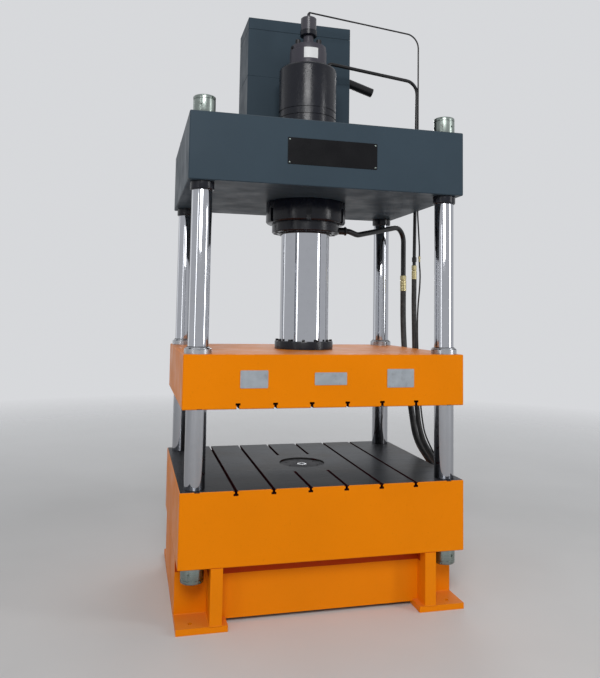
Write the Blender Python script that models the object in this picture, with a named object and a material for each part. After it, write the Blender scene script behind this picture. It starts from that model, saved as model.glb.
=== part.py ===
"""Four-column hydraulic press: crown with its cylinder and oil tank, slide, bed, columns and pipes.

Metres, +Z up. The floor is z = 0 and the front of the press faces -Y. Every place below is measured from
the press axis, the vertical line through the ram, which stands at AXIS_X, AXIS_Y.
"""

import math

import bmesh
import bpy
from mathutils import Matrix, Vector

# Clearances and round work
GAP = 0.0003                      # between two pieces that touch
OVERRUN = 0.010                   # how far a cutter runs past the face that it opens
MERGE = 0.000001
COLUMN_SIDES = 20                 # round work on the columns, the same on all that fits them
CYLINDER_SIDES = 32               # round work on the ram and its cylinder
HOLE_SIDES = 6
SMALL_SIDES = 16
HEX_SIDES = 6
SHARP_ANGLE = math.radians(32)

# The base and the three beams on one footprint, from the floor up, with the slide at its lowest
BEAM_WIDTH = 1.500
BEAM_DEPTH = 1.130
BEAM_CHAMFER = 0.004
BASE_HEIGHT = 0.300
BED_HEIGHT = 0.365
DAYLIGHT = 0.395                  # between the bed and the slide
SLIDE_HEIGHT = 0.270
SLIDE_ROOM = 0.870                # between the slide and the crown
CROWN_HEIGHT = 0.350

# T-slots in the bed's table and in the slide's face
SLOT_COUNT = 6
SLOT_MARGIN = 0.275               # from a beam's side to its outermost slot
SLOT_NECK = 0.014
SLOT_EDGE = 0.0015                # chamfer along both edges of a slot's mouth
SLOT_HEAD = 0.025
SLOT_HEAD_HEIGHT = 0.011
BED_SLOT_DEPTH = 0.025
SLIDE_SLOT_DEPTH = 0.030
SLOT_STOP_ROOM = 0.082            # from the bed's middle recess to the two middle slots' ends

# Base frame under the bed
SIDE_BOX_WIDTH = 0.160            # outside the leg plates
SIDE_BOX_SETBACK = 0.167          # corner notch in front of and behind each side box
LEG_THICKNESS = 0.060
PANEL_SETBACK = 0.100
PANEL_THICKNESS = 0.020
PANEL_LIFT = 0.020
FOOT_WIDTH = 0.250
FOOT_THICKNESS = 0.030
ANCHOR_HOLE_R = 0.011
ANCHOR_INSET_X = 0.072
ANCHOR_INSET_Y = 0.054

# Columns and their nuts
COLUMN_INSET = 0.078              # from the beams' side and front faces to a column's axis
COLUMN_R = 0.0525
COLUMN_SHOULDER = 0.0075          # the columns are this much thinner through the bed and the crown
COLUMN_END_CHAMFER = 0.004
COLUMN_END_SINK = 0.003           # how far a column's end stands inside its nut
NUT_WALL = 0.0125
NUT_CHAMFER = 0.004
NUT_TOP_HEIGHT = 0.093
NUT_BOTTOM_HEIGHT = 0.080
NUT_GROOVE_DROP = 0.018           # from the nut's free face down to its groove
NUT_GROOVE_WIDTH = 0.004
NUT_GROOVE_DEPTH = 0.003
NUT_HOLE_R = 0.0065
NUT_HOLE_DEPTH = 0.008
NUT_HOLES = 6                     # spanner holes, in two rows by turns
NUT_HOLE_ROWS = (0.038, 0.081)    # heights of the rows above the nut's seat
NUT_TURNS = (-0.377, 0.340, 0.900, 1.500)
COLLAR_WALL = 0.009
COLLAR_HEIGHT = 0.042
COLLAR_CHAMFER = 0.004

# Guide bushes in the slide
BUSH_WALL = 0.0085
BUSH_FLANGE_WALL = 0.0165
BUSH_FLANGE_HEIGHT = 0.026
BUSH_LIP_WALL = 0.0075
BUSH_LIP_HEIGHT = 0.007
BUSH_SLEEVE_LIFT = 0.010          # from the slide's underside up to the sleeve's end

# Ram and what holds it to the slide
RAM_R = 0.145
RAM_SPIGOT_R = 0.060
RAM_SPIGOT_DEPTH = 0.018
RAM_GROOVE_DEPTH = 0.013
RAM_GROOVE_BOTTOM = 0.018         # above the slide's top
RAM_GROOVE_TOP = 0.036
CLAMP_RING_WALL = 0.028
CLAMP_RING_HEIGHT = 0.047
CLAMP_RING_CHAMFER = 0.004
PISTON_LIFT = 0.0765              # above the barrel's lower end
PISTON_HEIGHT = 0.120
PISTON_CHAMFER = 0.005
PISTON_GROOVE_DEPTH = 0.006
PISTON_GROOVE_HEIGHT = 0.014
PISTON_GROOVE_RISES = (0.053,)

# Main cylinder
BORE_PLAY = 0.005                 # between the ram and the bore, which the piston and the gland fill
BARREL_WALL = 0.018
HEAD_STEP = 0.0065                # the barrel is this much thicker above the crown
HEAD_RISE = 0.478                 # from the crown's top to the head's top
HEAD_SLOPE_DROP = 0.022
HEAD_SLOPE_RUN = 0.028
HEAD_SLOPE_KNEE_SHARE = 0.35      # of the slope, which its inner, flatter part takes
HEAD_WALL = 0.068
HEAD_PORT_R = 0.055
BAND_RISE = 0.154                 # from the crown's top up to the grooved band
BAND_HEIGHT = 0.051
BAND_GROOVE = 0.008
BAND_GROOVE_DEPTH = 0.004
BIG_NUT_WALL = 0.071
BIG_NUT_HEIGHT = 0.1265           # from the crown down, as far as the barrel reaches
BIG_NUT_CHAMFER = 0.008
GLAND_WALL = 0.034
GLAND_HEIGHT = 0.0565
GLAND_CHAMFER = 0.005
GLAND_SPIGOT = 0.036
WIPER_WALL = 0.015
WIPER_DROP = 0.006

# Prefill valve and its pilot cylinder
VALVE_R = 0.113
VALVE_HEIGHT = 0.137
VALVE_CHAMFER = 0.008
VALVE_JOINT_DROP = 0.030
VALVE_JOINT_GROOVE = 0.003
VALVE_NECK_R = 0.031
VALVE_NECK_HEIGHT = 0.074
PILOT_RING_R = 0.052
PILOT_RING_HEIGHT = 0.034
PILOT_R = 0.048
PILOT_HEIGHT = 0.116
PILOT_CHAMFER = 0.006
PILOT_NIPPLE_R = 0.011
PILOT_NIPPLE_HEIGHT = 0.024

# Oil tank
TANK_SETBACK = 0.0255             # behind the cylinder
TANK_DEPTH = 0.345
TANK_LEFT_REACH = 0.340           # from the press axis
TANK_RIGHT_REACH = 0.335
TANK_HEIGHT = 0.786
LID_HEIGHT = 0.074
TANK_CHAMFER = 0.003
STUB_R = 0.030
STUB_WALL = 0.004
STUB_LENGTH = 0.225
STUB_SINK = 0.008
STUB_SETBACK = 0.170              # behind the tank's front
STUB_DROP = 0.216                 # below the tank's lid
STUB_SLOPE = math.radians(16.7)
SUCTION_R = 0.055
SUCTION_RISE = 0.060              # above the cylinder's head
SUCTION_SEAT_DEPTH = 0.018

# Rigid pipes; what they stand out is measured from the beams' right side
PIPE_POINT_STEPS = 5              # points on each bend
PIPE_LEAD = 0.040                 # straight into a fitting
PRESSURE_PIPE_R = 0.011
PRESSURE_OUT = 0.025
PRESSURE_TOP_Y = 0.118            # where it turns down beside the crown
PRESSURE_Y = 0.155                # at its fitting, further back
PRESSURE_PORT_INSET = 0.0395      # from the head's side
PRESSURE_PORT_Y = 0.040
PRESSURE_PORT_R = 0.018
PRESSURE_PORT_SINK = 0.036
PRESSURE_PORT_RISE = 0.024
PRESSURE_RUN_RISE = 0.073         # from the head's top up to the pipe's run
PRESSURE_RUN_FALL = 0.036         # over that run
PRESSURE_BEND = 0.085
PORT_BEND = 0.032
RETURN_PIPE_R = 0.017
RETURN_OUT = 0.035
RETURN_Y = 0.360
RETURN_PORT_R = 0.022
RETURN_PORT_SINK = 0.020
RETURN_PORT_REACH = 0.042
RETURN_PORT_RISE = 0.028          # above the gland's bottom
RETURN_LEAD = 0.031               # straight out of its port
RETURN_LEAD_BEND = 0.040
RETURN_DIP = 0.014
RETURN_DIP_SHARE = 0.14           # where on its run the return pipe dips
RETURN_CREST = 0.100
RETURN_BEND = 0.090
RETURN_DIP_BEND = 0.120
TUBE_R = 0.0050
TUBE_OUT = 0.025
TUBE_Y = 0.102
TUBE_LOW_Y = 0.073
TUBE_RUN_RISE = 0.015
TUBE_RUN_FALL = 0.020
TUBE_TURN = 0.085                 # bend at the top right
TUBE_BEND = 0.060
TUBE_LEAVE_DROP = 0.010           # below the crown, where it leans forward
CLAMP_RISE = 0.220                # above the crown's underside
CLAMP_HEIGHT = 0.040
CLAMP_MARGIN = 0.010
CLAMP_PLAY = 0.0014               # round each pipe, which leans a little inside it

# Fittings at the hoses' upper ends: (top, bottom, sleeve radius, nut radius, nut height)
PRESSURE_FITTING = (1.862, 1.772, 0.0165, 0.0180, 0.030)
RETURN_FITTING = (1.806, 1.702, 0.0210, 0.0230, 0.028)
TUBE_FITTING = (1.915, 1.880, 0.0065, 0.0085, 0.016)
FITTING_GROOVE = 0.0015
FITTING_CHAMFER = 0.002

# Hoses
PRESSURE_HOSE_R = 0.016
RETURN_HOSE_R = 0.019
PILOT_HOSE_R = 0.0050
HOSE_SPACING = 2.6                # points of a hose, in hose diameters
HOSE_POINTS = 44                  # and the most points that a hose has
CONNECTOR_LENGTH = 0.075
CONNECTOR_NUT_LENGTH = 0.034
CONNECTOR_RIM = 0.004

# Plates: (centre across, rise of its centre above the beam's underside, width, height)
PLATE_THICKNESS = 0.002
PLATE_CORNER = 0.004
NAMEPLATE = (0.000, 0.179, 0.490, 0.140)
LABEL_LEFT = (-0.396, 0.147, 0.141, 0.088)
LABEL_MIDDLE = (0.003, 0.147, 0.172, 0.064)
LABEL_RIGHT = (0.386, 0.147, 0.150, 0.096)

# Ejector in the bed
RECESS_R = 0.132
RECESS_DEPTH = 0.030
EJECTOR_PLATE_SINK = 0.008
EJECTOR_PLATE_CHAMFER = 0.003
ROD_R = 0.030
ROD_HOLE_R = 0.040
ROD_THREAD_R = 0.015
ROD_THREAD_DEPTH = 0.040
ROD_CHAMFER = 0.003
EJECTOR_BORE_R = 0.060
EJECTOR_LIFT = 0.045              # above the floor
EJECTOR_WALL = 0.025
EJECTOR_FLANGE_R = 0.110
EJECTOR_FLANGE = 0.030
EJECTOR_SPIGOT = 0.012
EJECTOR_PISTON = 0.030
EJECTOR_PISTON_LIFT = 0.015

# Worked out from the sizes above: heights from the floor, other places from the press axis
SIDE = BEAM_WIDTH / 2
FRONT = -BEAM_DEPTH / 2
BED_BOTTOM = BASE_HEIGHT
BED_TOP = BED_BOTTOM + BED_HEIGHT
SLIDE_BOTTOM = BED_TOP + DAYLIGHT
SLIDE_TOP = SLIDE_BOTTOM + SLIDE_HEIGHT
CROWN_BOTTOM = SLIDE_TOP + SLIDE_ROOM
CROWN_TOP = CROWN_BOTTOM + CROWN_HEIGHT
SLOT_PITCH = (BEAM_WIDTH - 2 * SLOT_MARGIN) / (SLOT_COUNT - 1)
SLOT_STOP = RECESS_R + SLOT_STOP_ROOM
LEG_OUTER = SIDE - SIDE_BOX_WIDTH
LEG_INNER = LEG_OUTER - LEG_THICKNESS
FOOT_INNER = SIDE - FOOT_WIDTH
COLUMN_X = SIDE - COLUMN_INSET
COLUMN_Y = -FRONT - COLUMN_INSET
COLUMN_PLACES = (
    ("front_left", -COLUMN_X, -COLUMN_Y),
    ("front_right", COLUMN_X, -COLUMN_Y),
    ("rear_right", COLUMN_X, COLUMN_Y),
    ("rear_left", -COLUMN_X, COLUMN_Y),
)
COLUMN_NECK_R = COLUMN_R - COLUMN_SHOULDER
NUT_R = COLUMN_NECK_R + NUT_WALL
COLLAR_R = COLUMN_R + COLLAR_WALL
BUSH_FLANGE_R = COLUMN_R + BUSH_FLANGE_WALL
BUSH_LIP_R = COLUMN_R + BUSH_LIP_WALL
BUSH_SLEEVE_R = COLUMN_R + BUSH_WALL
RAM_GROOVE_R = RAM_R - RAM_GROOVE_DEPTH
CLAMP_RING_R = RAM_R + CLAMP_RING_WALL
WIPER_R = RAM_R + WIPER_WALL
BORE_R = RAM_R + BORE_PLAY
BARREL_R = BORE_R + BARREL_WALL
HEAD_R = BARREL_R + HEAD_STEP
BIG_NUT_R = BARREL_R + BIG_NUT_WALL
GLAND_R = BARREL_R + GLAND_WALL
BARREL_BOTTOM = CROWN_BOTTOM - BIG_NUT_HEIGHT
GLAND_BOTTOM = BARREL_BOTTOM - GLAND_HEIGHT
PISTON_BOTTOM = BARREL_BOTTOM + PISTON_LIFT
HEAD_TOP = CROWN_TOP + HEAD_RISE
VALVE_TOP = HEAD_TOP + VALVE_HEIGHT
PILOT_BOTTOM = VALVE_TOP + VALVE_NECK_HEIGHT
PILOT_TOP = PILOT_BOTTOM + PILOT_HEIGHT
SUCTION_Z = HEAD_TOP + SUCTION_RISE
TANK_FRONT = HEAD_R + TANK_SETBACK
TANK_BACK = TANK_FRONT + TANK_DEPTH
TANK_SEAM = CROWN_TOP + TANK_HEIGHT
TANK_TOP = TANK_SEAM + LID_HEIGHT
STUB_Y = TANK_FRONT + STUB_SETBACK
STUB_Z = TANK_SEAM - STUB_DROP
PRESSURE_X = SIDE + PRESSURE_OUT
PRESSURE_PORT_X = HEAD_R - PRESSURE_PORT_INSET
RETURN_X = SIDE + RETURN_OUT
TUBE_X = SIDE + TUBE_OUT
TUBE_LEAVE_Z = CROWN_BOTTOM - TUBE_LEAVE_DROP
CLAMP_Z = CROWN_BOTTOM + CLAMP_RISE
EJECTOR_R = EJECTOR_BORE_R + EJECTOR_WALL
SIDE_REACH = RETURN_X + RETURN_FITTING[3] - SIDE                # of the pipes past the beams' right side
FRONT_REACH = GAP + PLATE_THICKNESS                             # of the plates past the front
AXIS_X = -SIDE_REACH / 2                                        # which centres the press on x = 0
AXIS_Y = FRONT_REACH / 2

# The hoses' routes below their fittings, down to the floor and back along the base, as points
# (out from the beams' right side, back from the press axis, height)
PRESSURE_HOSE_ROUTE = (
    (0.025, 0.155, 1.720), (0.025, 0.156, 1.620), (0.025, 0.151, 1.490), (0.026, 0.146, 1.350),
    (0.028, 0.142, 1.200), (0.031, 0.134, 1.060), (0.035, 0.122, 0.945), (0.039, 0.100, 0.845),
    (0.046, 0.045, 0.752), (0.056, -0.066, 0.678), (0.064, -0.155, 0.620), (0.073, -0.223, 0.520),
    (0.078, -0.238, 0.400), (0.083, -0.215, 0.280), (0.087, -0.160, 0.165), (0.090, -0.070, 0.075),
    (0.092, 0.040, 0.033), (0.094, 0.160, 0.024), (0.096, 0.290, 0.023), (0.098, 0.400, 0.023),
)
RETURN_HOSE_ROUTE = (
    (0.035, 0.360, 1.640), (0.035, 0.358, 1.520), (0.035, 0.345, 1.380), (0.036, 0.322, 1.240),
    (0.038, 0.290, 1.100), (0.042, 0.250, 0.975), (0.046, 0.219, 0.870), (0.051, 0.192, 0.785),
    (0.058, 0.136, 0.715), (0.070, 0.048, 0.656), (0.082, -0.030, 0.603), (0.095, -0.090, 0.525),
    (0.107, -0.118, 0.425), (0.118, -0.112, 0.310), (0.129, -0.070, 0.195), (0.138, 0.010, 0.100),
    (0.145, 0.120, 0.047), (0.149, 0.240, 0.030), (0.152, 0.360, 0.028), (0.154, 0.450, 0.028),
)
PILOT_HOSE_ROUTE = (
    (0.025, 0.073, 1.865), (0.026, 0.067, 1.830), (0.027, 0.065, 1.785), (0.028, 0.075, 1.710),
    (0.029, 0.096, 1.620), (0.031, 0.112, 1.530), (0.035, 0.121, 1.420), (0.040, 0.122, 1.280),
    (0.045, 0.118, 1.130), (0.051, 0.110, 1.000), (0.058, 0.096, 0.890), (0.064, 0.066, 0.800),
    (0.072, -0.010, 0.722), (0.082, -0.100, 0.658), (0.091, -0.180, 0.596), (0.097, -0.228, 0.505),
    (0.102, -0.240, 0.395), (0.107, -0.218, 0.275), (0.111, -0.160, 0.155), (0.114, -0.070, 0.058),
    (0.116, 0.040, 0.018), (0.118, 0.160, 0.0115), (0.120, 0.290, 0.011), (0.122, 0.400, 0.011),
)

ORANGE = ("orange_paint", (0.73, 0.20, 0.003), 0.35, 0.0)
GREY = ("grey_paint", (0.048, 0.073, 0.098), 0.40, 0.0)
BLACK = ("black_paint", (0.010, 0.010, 0.013), 0.25, 0.0)
VALVE_GREY = ("valve_paint", (0.045, 0.042, 0.055), 0.45, 0.0)
CHROME = ("hard_chrome", (0.62, 0.63, 0.65), 0.08, 1.0)
ZINC = ("zinc_plate", (0.55, 0.57, 0.53), 0.35, 1.0)
STEEL = ("ground_steel", (0.42, 0.43, 0.45), 0.28, 1.0)
BRASS = ("yellow_zinc", (0.50, 0.42, 0.22), 0.35, 1.0)
RUBBER = ("hose_rubber", (0.012, 0.012, 0.013), 0.60, 0.0)
SILVER = ("label_silver", (0.50, 0.52, 0.54), 0.45, 1.0)


def clear_scene():
    """Remove what the scene holds."""
    for obj in list(bpy.data.objects):
        bpy.data.objects.remove(obj, do_unlink=True)


def finish_of(finish):
    """The Principled material of a finish, made once."""
    name, colour, roughness, metallic = finish
    material = bpy.data.materials.get(name) or bpy.data.materials.new(name)
    material.use_nodes = True
    shader = material.node_tree.nodes["Principled BSDF"]
    shader.inputs["Base Color"].default_value = (*colour, 1.0)
    shader.inputs["Roughness"].default_value = roughness
    shader.inputs["Metallic"].default_value = metallic
    return material


def empty(name, place):
    """An empty that carries the pieces of one body."""
    obj = bpy.data.objects.new(name, None)
    obj.location = place
    bpy.context.collection.objects.link(obj)
    return obj


def piece(name, bm, finish, carrier, at=(0, 0, 0), turn=0.0, smooth=True):
    """One named object from a bmesh, placed on its carrier."""
    bmesh.ops.recalc_face_normals(bm, faces=bm.faces[:])
    mesh = bpy.data.meshes.new(name)
    bm.to_mesh(mesh)
    bm.free()
    if smooth:
        mesh.shade_smooth()
        mesh.set_sharp_from_angle(angle=SHARP_ANGLE)
    return place_mesh(name, mesh, finish, carrier, at, turn)


def place_mesh(name, mesh, finish, carrier, at=(0, 0, 0), turn=0.0):
    """One named object that shows a mesh, with its finish."""
    obj = bpy.data.objects.new(name, mesh)
    obj.location = at
    obj.rotation_euler = (0, 0, turn)
    obj.parent = carrier
    if finish and not mesh.materials:
        mesh.materials.append(finish_of(finish))
    bpy.context.collection.objects.link(obj)
    return obj


def cut(target, bm, carrier, at=(0, 0, 0), operation="DIFFERENCE"):
    """Cut a bmesh's shapes out of a piece, or join them to it."""
    cutter = piece(f"{target.name}_{operation.lower()}", bm, None, carrier, at, smooth=False)
    cutter.hide_render = True
    cutter.display_type = "WIRE"
    modifier = target.modifiers.new(operation.title(), "BOOLEAN")
    modifier.operation = operation
    modifier.solver = "EXACT"
    modifier.object = cutter
    return cutter


def add_turned(bm, outline, sides, at=(0, 0, 0), axis="Z"):
    """Turn an outline of (radius, height) points; one that leaves the axis free is a closed ring."""
    others = set(bm.verts)
    verts = [bm.verts.new((r, 0, z)) for r, z in outline]
    edges = [bm.edges.new(pair) for pair in zip(verts, verts[1:])]
    if outline[0][0] > 0:
        edges.append(bm.edges.new((verts[-1], verts[0])))
    bmesh.ops.spin(
        bm, geom=verts + edges, cent=(0, 0, 0), axis=(0, 0, 1), angle=2 * math.pi, steps=sides, use_merge=True
    )
    bmesh.ops.remove_doubles(bm, verts=[v for v in bm.verts if v not in others], dist=MERGE)
    fresh = [v for v in bm.verts if v not in others]
    turn = {"X": Matrix.Rotation(math.pi / 2, 4, "Y"), "Y": Matrix.Rotation(-math.pi / 2, 4, "X")}
    if axis in turn:
        bmesh.ops.transform(bm, matrix=turn[axis], verts=fresh)
    bmesh.ops.translate(bm, vec=at, verts=fresh)
    return fresh


def cut_flat(bm, place, normal):
    """Keep what lies on the normal's side of a plane, and close the section."""
    section = bmesh.ops.bisect_plane(
        bm, geom=bm.verts[:] + bm.edges[:] + bm.faces[:], dist=MERGE, plane_co=place, plane_no=normal,
        clear_inner=True,
    )["geom_cut"]
    bmesh.ops.edgenet_fill(bm, edges=[g for g in section if isinstance(g, bmesh.types.BMEdge)])


def add_block(bm, low, high, chamfer=0.0):
    """A box between two corners, its edges chamfered."""
    low, high = Vector(low), Vector(high)
    made = bmesh.ops.create_cube(bm, size=1.0)["verts"]
    bmesh.ops.scale(bm, vec=high - low, verts=made)
    bmesh.ops.translate(bm, vec=(low + high) / 2, verts=made)
    if chamfer:
        edges = list({e for v in made for e in v.link_edges})
        bmesh.ops.bevel(bm, geom=edges, offset=chamfer, segments=1, profile=0.5, affect="EDGES")


def add_prism(bm, outline, low, high, along="Z"):
    """A flat outline carried from low to high: (x, y) points along Z, or (x, z) points along Y."""
    start = [(x, y, low) if along == "Z" else (x, low, y) for x, y in outline]
    face = bm.faces.new([bm.verts.new(p) for p in start])
    grown = bmesh.ops.extrude_face_region(bm, geom=[face])["geom"]
    way = (0, 0, high - low) if along == "Z" else (0, high - low, 0)
    bmesh.ops.translate(bm, vec=way, verts=[g for g in grown if isinstance(g, bmesh.types.BMVert)])


def t_outline(x, face_z, inward, depth):
    """A T-slot's section in (x, z), open at face_z and cut towards inward (+1 up, -1 down)."""
    neck, head, mouth = SLOT_NECK / 2, SLOT_HEAD / 2, SLOT_NECK / 2 + SLOT_EDGE
    outside, edge = face_z - inward * OVERRUN, face_z + inward * SLOT_EDGE
    shoulder = face_z + inward * (depth - SLOT_HEAD_HEIGHT)
    floor = face_z + inward * depth
    half = [
        (mouth, outside), (mouth, face_z), (neck, edge), (neck, shoulder), (head, shoulder), (head, floor),
    ]
    return [(x - across, z) for across, z in half] + [(x + across, z) for across, z in reversed(half)]


def slot_places():
    """The x of each T-slot."""
    return [(i - (SLOT_COUNT - 1) / 2) * SLOT_PITCH for i in range(SLOT_COUNT)]


def add_slots(bm, face_z, inward, depth, stop=0.0):
    """All T-slots of one face; those beside the middle end at stop, if it is given."""
    end = BEAM_DEPTH / 2 + OVERRUN
    for x in slot_places():
        outline = t_outline(x, face_z, inward, depth)
        if stop and abs(x) < SLOT_PITCH:
            add_prism(bm, outline, -end, -stop, "Y")
            add_prism(bm, outline, stop, end, "Y")
        else:
            add_prism(bm, outline, -end, end, "Y")


def add_through_holes(bm, radius, low, high):
    """A cutter for a bore at each column, through a beam."""
    outline = [(0, low - OVERRUN), (radius, low - OVERRUN), (radius, high + OVERRUN), (0, high + OVERRUN)]
    for _, x, y in COLUMN_PLACES:
        add_turned(bm, outline, COLUMN_SIDES, at=(x, y, 0))


def beam(name, low, high, finish, carrier):
    """A plain beam over the whole footprint."""
    bm = bmesh.new()
    add_block(bm, (-SIDE, FRONT, low), (SIDE, -FRONT, high), BEAM_CHAMFER)
    return piece(name, bm, finish, carrier, smooth=False)


def build_bed(frame):
    """The bed, with its T-slots, column bores, middle recess and rod hole."""
    bed = beam("bed", BED_BOTTOM, BED_TOP, ORANGE, frame)
    bm = bmesh.new()
    add_through_holes(bm, COLUMN_NECK_R + GAP, BED_BOTTOM, BED_TOP)
    add_slots(bm, BED_TOP, -1, BED_SLOT_DEPTH, SLOT_STOP)
    floor = BED_TOP - RECESS_DEPTH
    add_turned(bm, [
        (0, BED_TOP + OVERRUN), (RECESS_R, BED_TOP + OVERRUN), (RECESS_R, floor), (ROD_HOLE_R, floor),
        (ROD_HOLE_R, BED_BOTTOM - OVERRUN), (0, BED_BOTTOM - OVERRUN),
    ], CYLINDER_SIDES)
    cut(bed, bm, frame)


def build_base(frame):
    """The base frame: two side boxes with leg plates, two recessed panels and two foot plates."""
    leg, side = LEG_OUTER, SIDE
    box_y, panel_y, front_y = -FRONT - SIDE_BOX_SETBACK, -FRONT - PANEL_SETBACK, -FRONT
    quarter = [
        (LEG_INNER, panel_y), (LEG_INNER, front_y), (leg, front_y), (leg, box_y), (side, box_y),
    ]
    outline = (
        quarter
        + [(x, -y) for x, y in reversed(quarter)]
        + [(-x, -y) for x, y in quarter]
        + [(-x, y) for x, y in reversed(quarter)]
    )
    bm = bmesh.new()
    add_prism(bm, outline, PANEL_LIFT, BED_BOTTOM - GAP)
    base = piece("base_frame", bm, ORANGE, frame, smooth=False)
    inner_y = panel_y - PANEL_THICKNESS
    hollow = bmesh.new()
    add_block(hollow, (-LEG_INNER, -inner_y, 0), (LEG_INNER, inner_y, BED_BOTTOM + OVERRUN))
    cut(base, hollow, frame)
    feet = bmesh.new()
    for inner, outer in ((-FOOT_INNER, -side), (FOOT_INNER, side)):
        add_block(feet, (min(inner, outer), FRONT, 0), (max(inner, outer), front_y, FOOT_THICKNESS))
    cut(base, feet, frame, operation="UNION")
    holes = bmesh.new()
    high = FOOT_THICKNESS + OVERRUN
    for x in (ANCHOR_INSET_X - side, side - ANCHOR_INSET_X):
        for y in (FRONT + ANCHOR_INSET_Y, front_y - ANCHOR_INSET_Y):
            add_turned(holes, [(0, -OVERRUN), (ANCHOR_HOLE_R, -OVERRUN), (ANCHOR_HOLE_R, high), (0, high)],
                       SMALL_SIDES, at=(x, y, 0))
    cut(base, holes, frame)


def build_columns(frame):
    """Four columns, each with its top nut, bottom nut and the lock collar under the crown."""
    top = CROWN_TOP + NUT_TOP_HEIGHT - COLUMN_END_SINK
    bottom = BED_BOTTOM - NUT_BOTTOM_HEIGHT + COLUMN_END_SINK
    chamfer = COLUMN_END_CHAMFER
    shaft = bmesh.new()
    add_turned(shaft, [
        (0, bottom), (COLUMN_NECK_R - chamfer, bottom), (COLUMN_NECK_R, bottom + chamfer),
        (COLUMN_NECK_R, BED_TOP + GAP), (COLUMN_R, BED_TOP + GAP), (COLUMN_R, CROWN_BOTTOM - GAP),
        (COLUMN_NECK_R, CROWN_BOTTOM - GAP), (COLUMN_NECK_R, top - chamfer), (COLUMN_NECK_R - chamfer, top),
        (0, top),
    ], COLUMN_SIDES)
    first = None
    for place, x, y in COLUMN_PLACES:
        if first is None:
            first = piece(f"column_{place}", shaft, CHROME, frame, (x, y, 0))
        else:
            place_mesh(f"column_{place}", first.data, CHROME, frame, (x, y, 0))
    for (place, x, y), turn in zip(COLUMN_PLACES, NUT_TURNS):
        build_nut(f"top_nut_{place}", NUT_TOP_HEIGHT, frame, (x, y, CROWN_TOP + GAP), 1, turn)
        build_nut(f"bottom_nut_{place}", NUT_BOTTOM_HEIGHT, frame, (x, y, BED_BOTTOM - GAP), -1, turn)
        build_collar(f"lock_collar_{place}", frame, (x, y, CROWN_BOTTOM - GAP))


def build_nut(name, height, frame, seat, way, turn):
    """A round column nut that grows from its seat, up or down, with a groove and spanner holes."""
    inner, chamfer, depth = COLUMN_NECK_R + GAP, NUT_CHAMFER, NUT_GROOVE_DEPTH
    high = height - NUT_GROOVE_DROP
    low = high - NUT_GROOVE_WIDTH
    outline = [
        (inner, 0), (NUT_R - chamfer / 2, 0), (NUT_R, chamfer / 2), (NUT_R, low), (NUT_R - depth, low),
        (NUT_R - depth, high), (NUT_R, high), (NUT_R, height - chamfer), (NUT_R - chamfer, height),
        (inner, height),
    ]
    bm = bmesh.new()
    add_turned(bm, [(r, way * z) for r, z in outline], COLUMN_SIDES)
    nut = piece(name, bm, ZINC, frame, seat)
    holes = bmesh.new()
    ends = (NUT_R - NUT_HOLE_DEPTH, NUT_R + OVERRUN)
    for i in range(NUT_HOLES):
        rise = NUT_HOLE_ROWS[i % 2] * height / NUT_TOP_HEIGHT
        verts = add_turned(holes, [
            (0, ends[0]), (NUT_HOLE_R, ends[0]), (NUT_HOLE_R, ends[1]), (0, ends[1]),
        ], HOLE_SIDES, axis="Y")
        angle = Matrix.Rotation(math.pi + 2 * math.pi * i / NUT_HOLES, 4, "Z")
        bmesh.ops.transform(holes, matrix=angle, verts=verts)
        bmesh.ops.translate(holes, vec=(0, 0, way * rise), verts=verts)
    cutter = cut(nut, holes, frame, seat)
    cutter.rotation_euler = (0, 0, turn)


def build_collar(name, frame, seat):
    """The black lock collar on a column, against the crown's underside."""
    inner, chamfer = COLUMN_R + GAP, COLLAR_CHAMFER
    bm = bmesh.new()
    add_turned(bm, [
        (inner, 0), (COLLAR_R, 0), (COLLAR_R, chamfer - COLLAR_HEIGHT), (COLLAR_R - chamfer, -COLLAR_HEIGHT),
        (inner, -COLLAR_HEIGHT),
    ], COLUMN_SIDES)
    piece(name, bm, BLACK, frame, seat)


def build_crown(frame):
    """The crown, bored for the columns and the main cylinder."""
    crown = beam("crown", CROWN_BOTTOM, CROWN_TOP, GREY, frame)
    bm = bmesh.new()
    add_through_holes(bm, COLUMN_NECK_R + GAP, CROWN_BOTTOM, CROWN_TOP)
    low, high, radius = CROWN_BOTTOM - OVERRUN, CROWN_TOP + OVERRUN, BARREL_R + GAP
    add_turned(bm, [(0, low), (radius, low), (radius, high), (0, high)], CYLINDER_SIDES)
    cut(crown, bm, frame)


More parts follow.
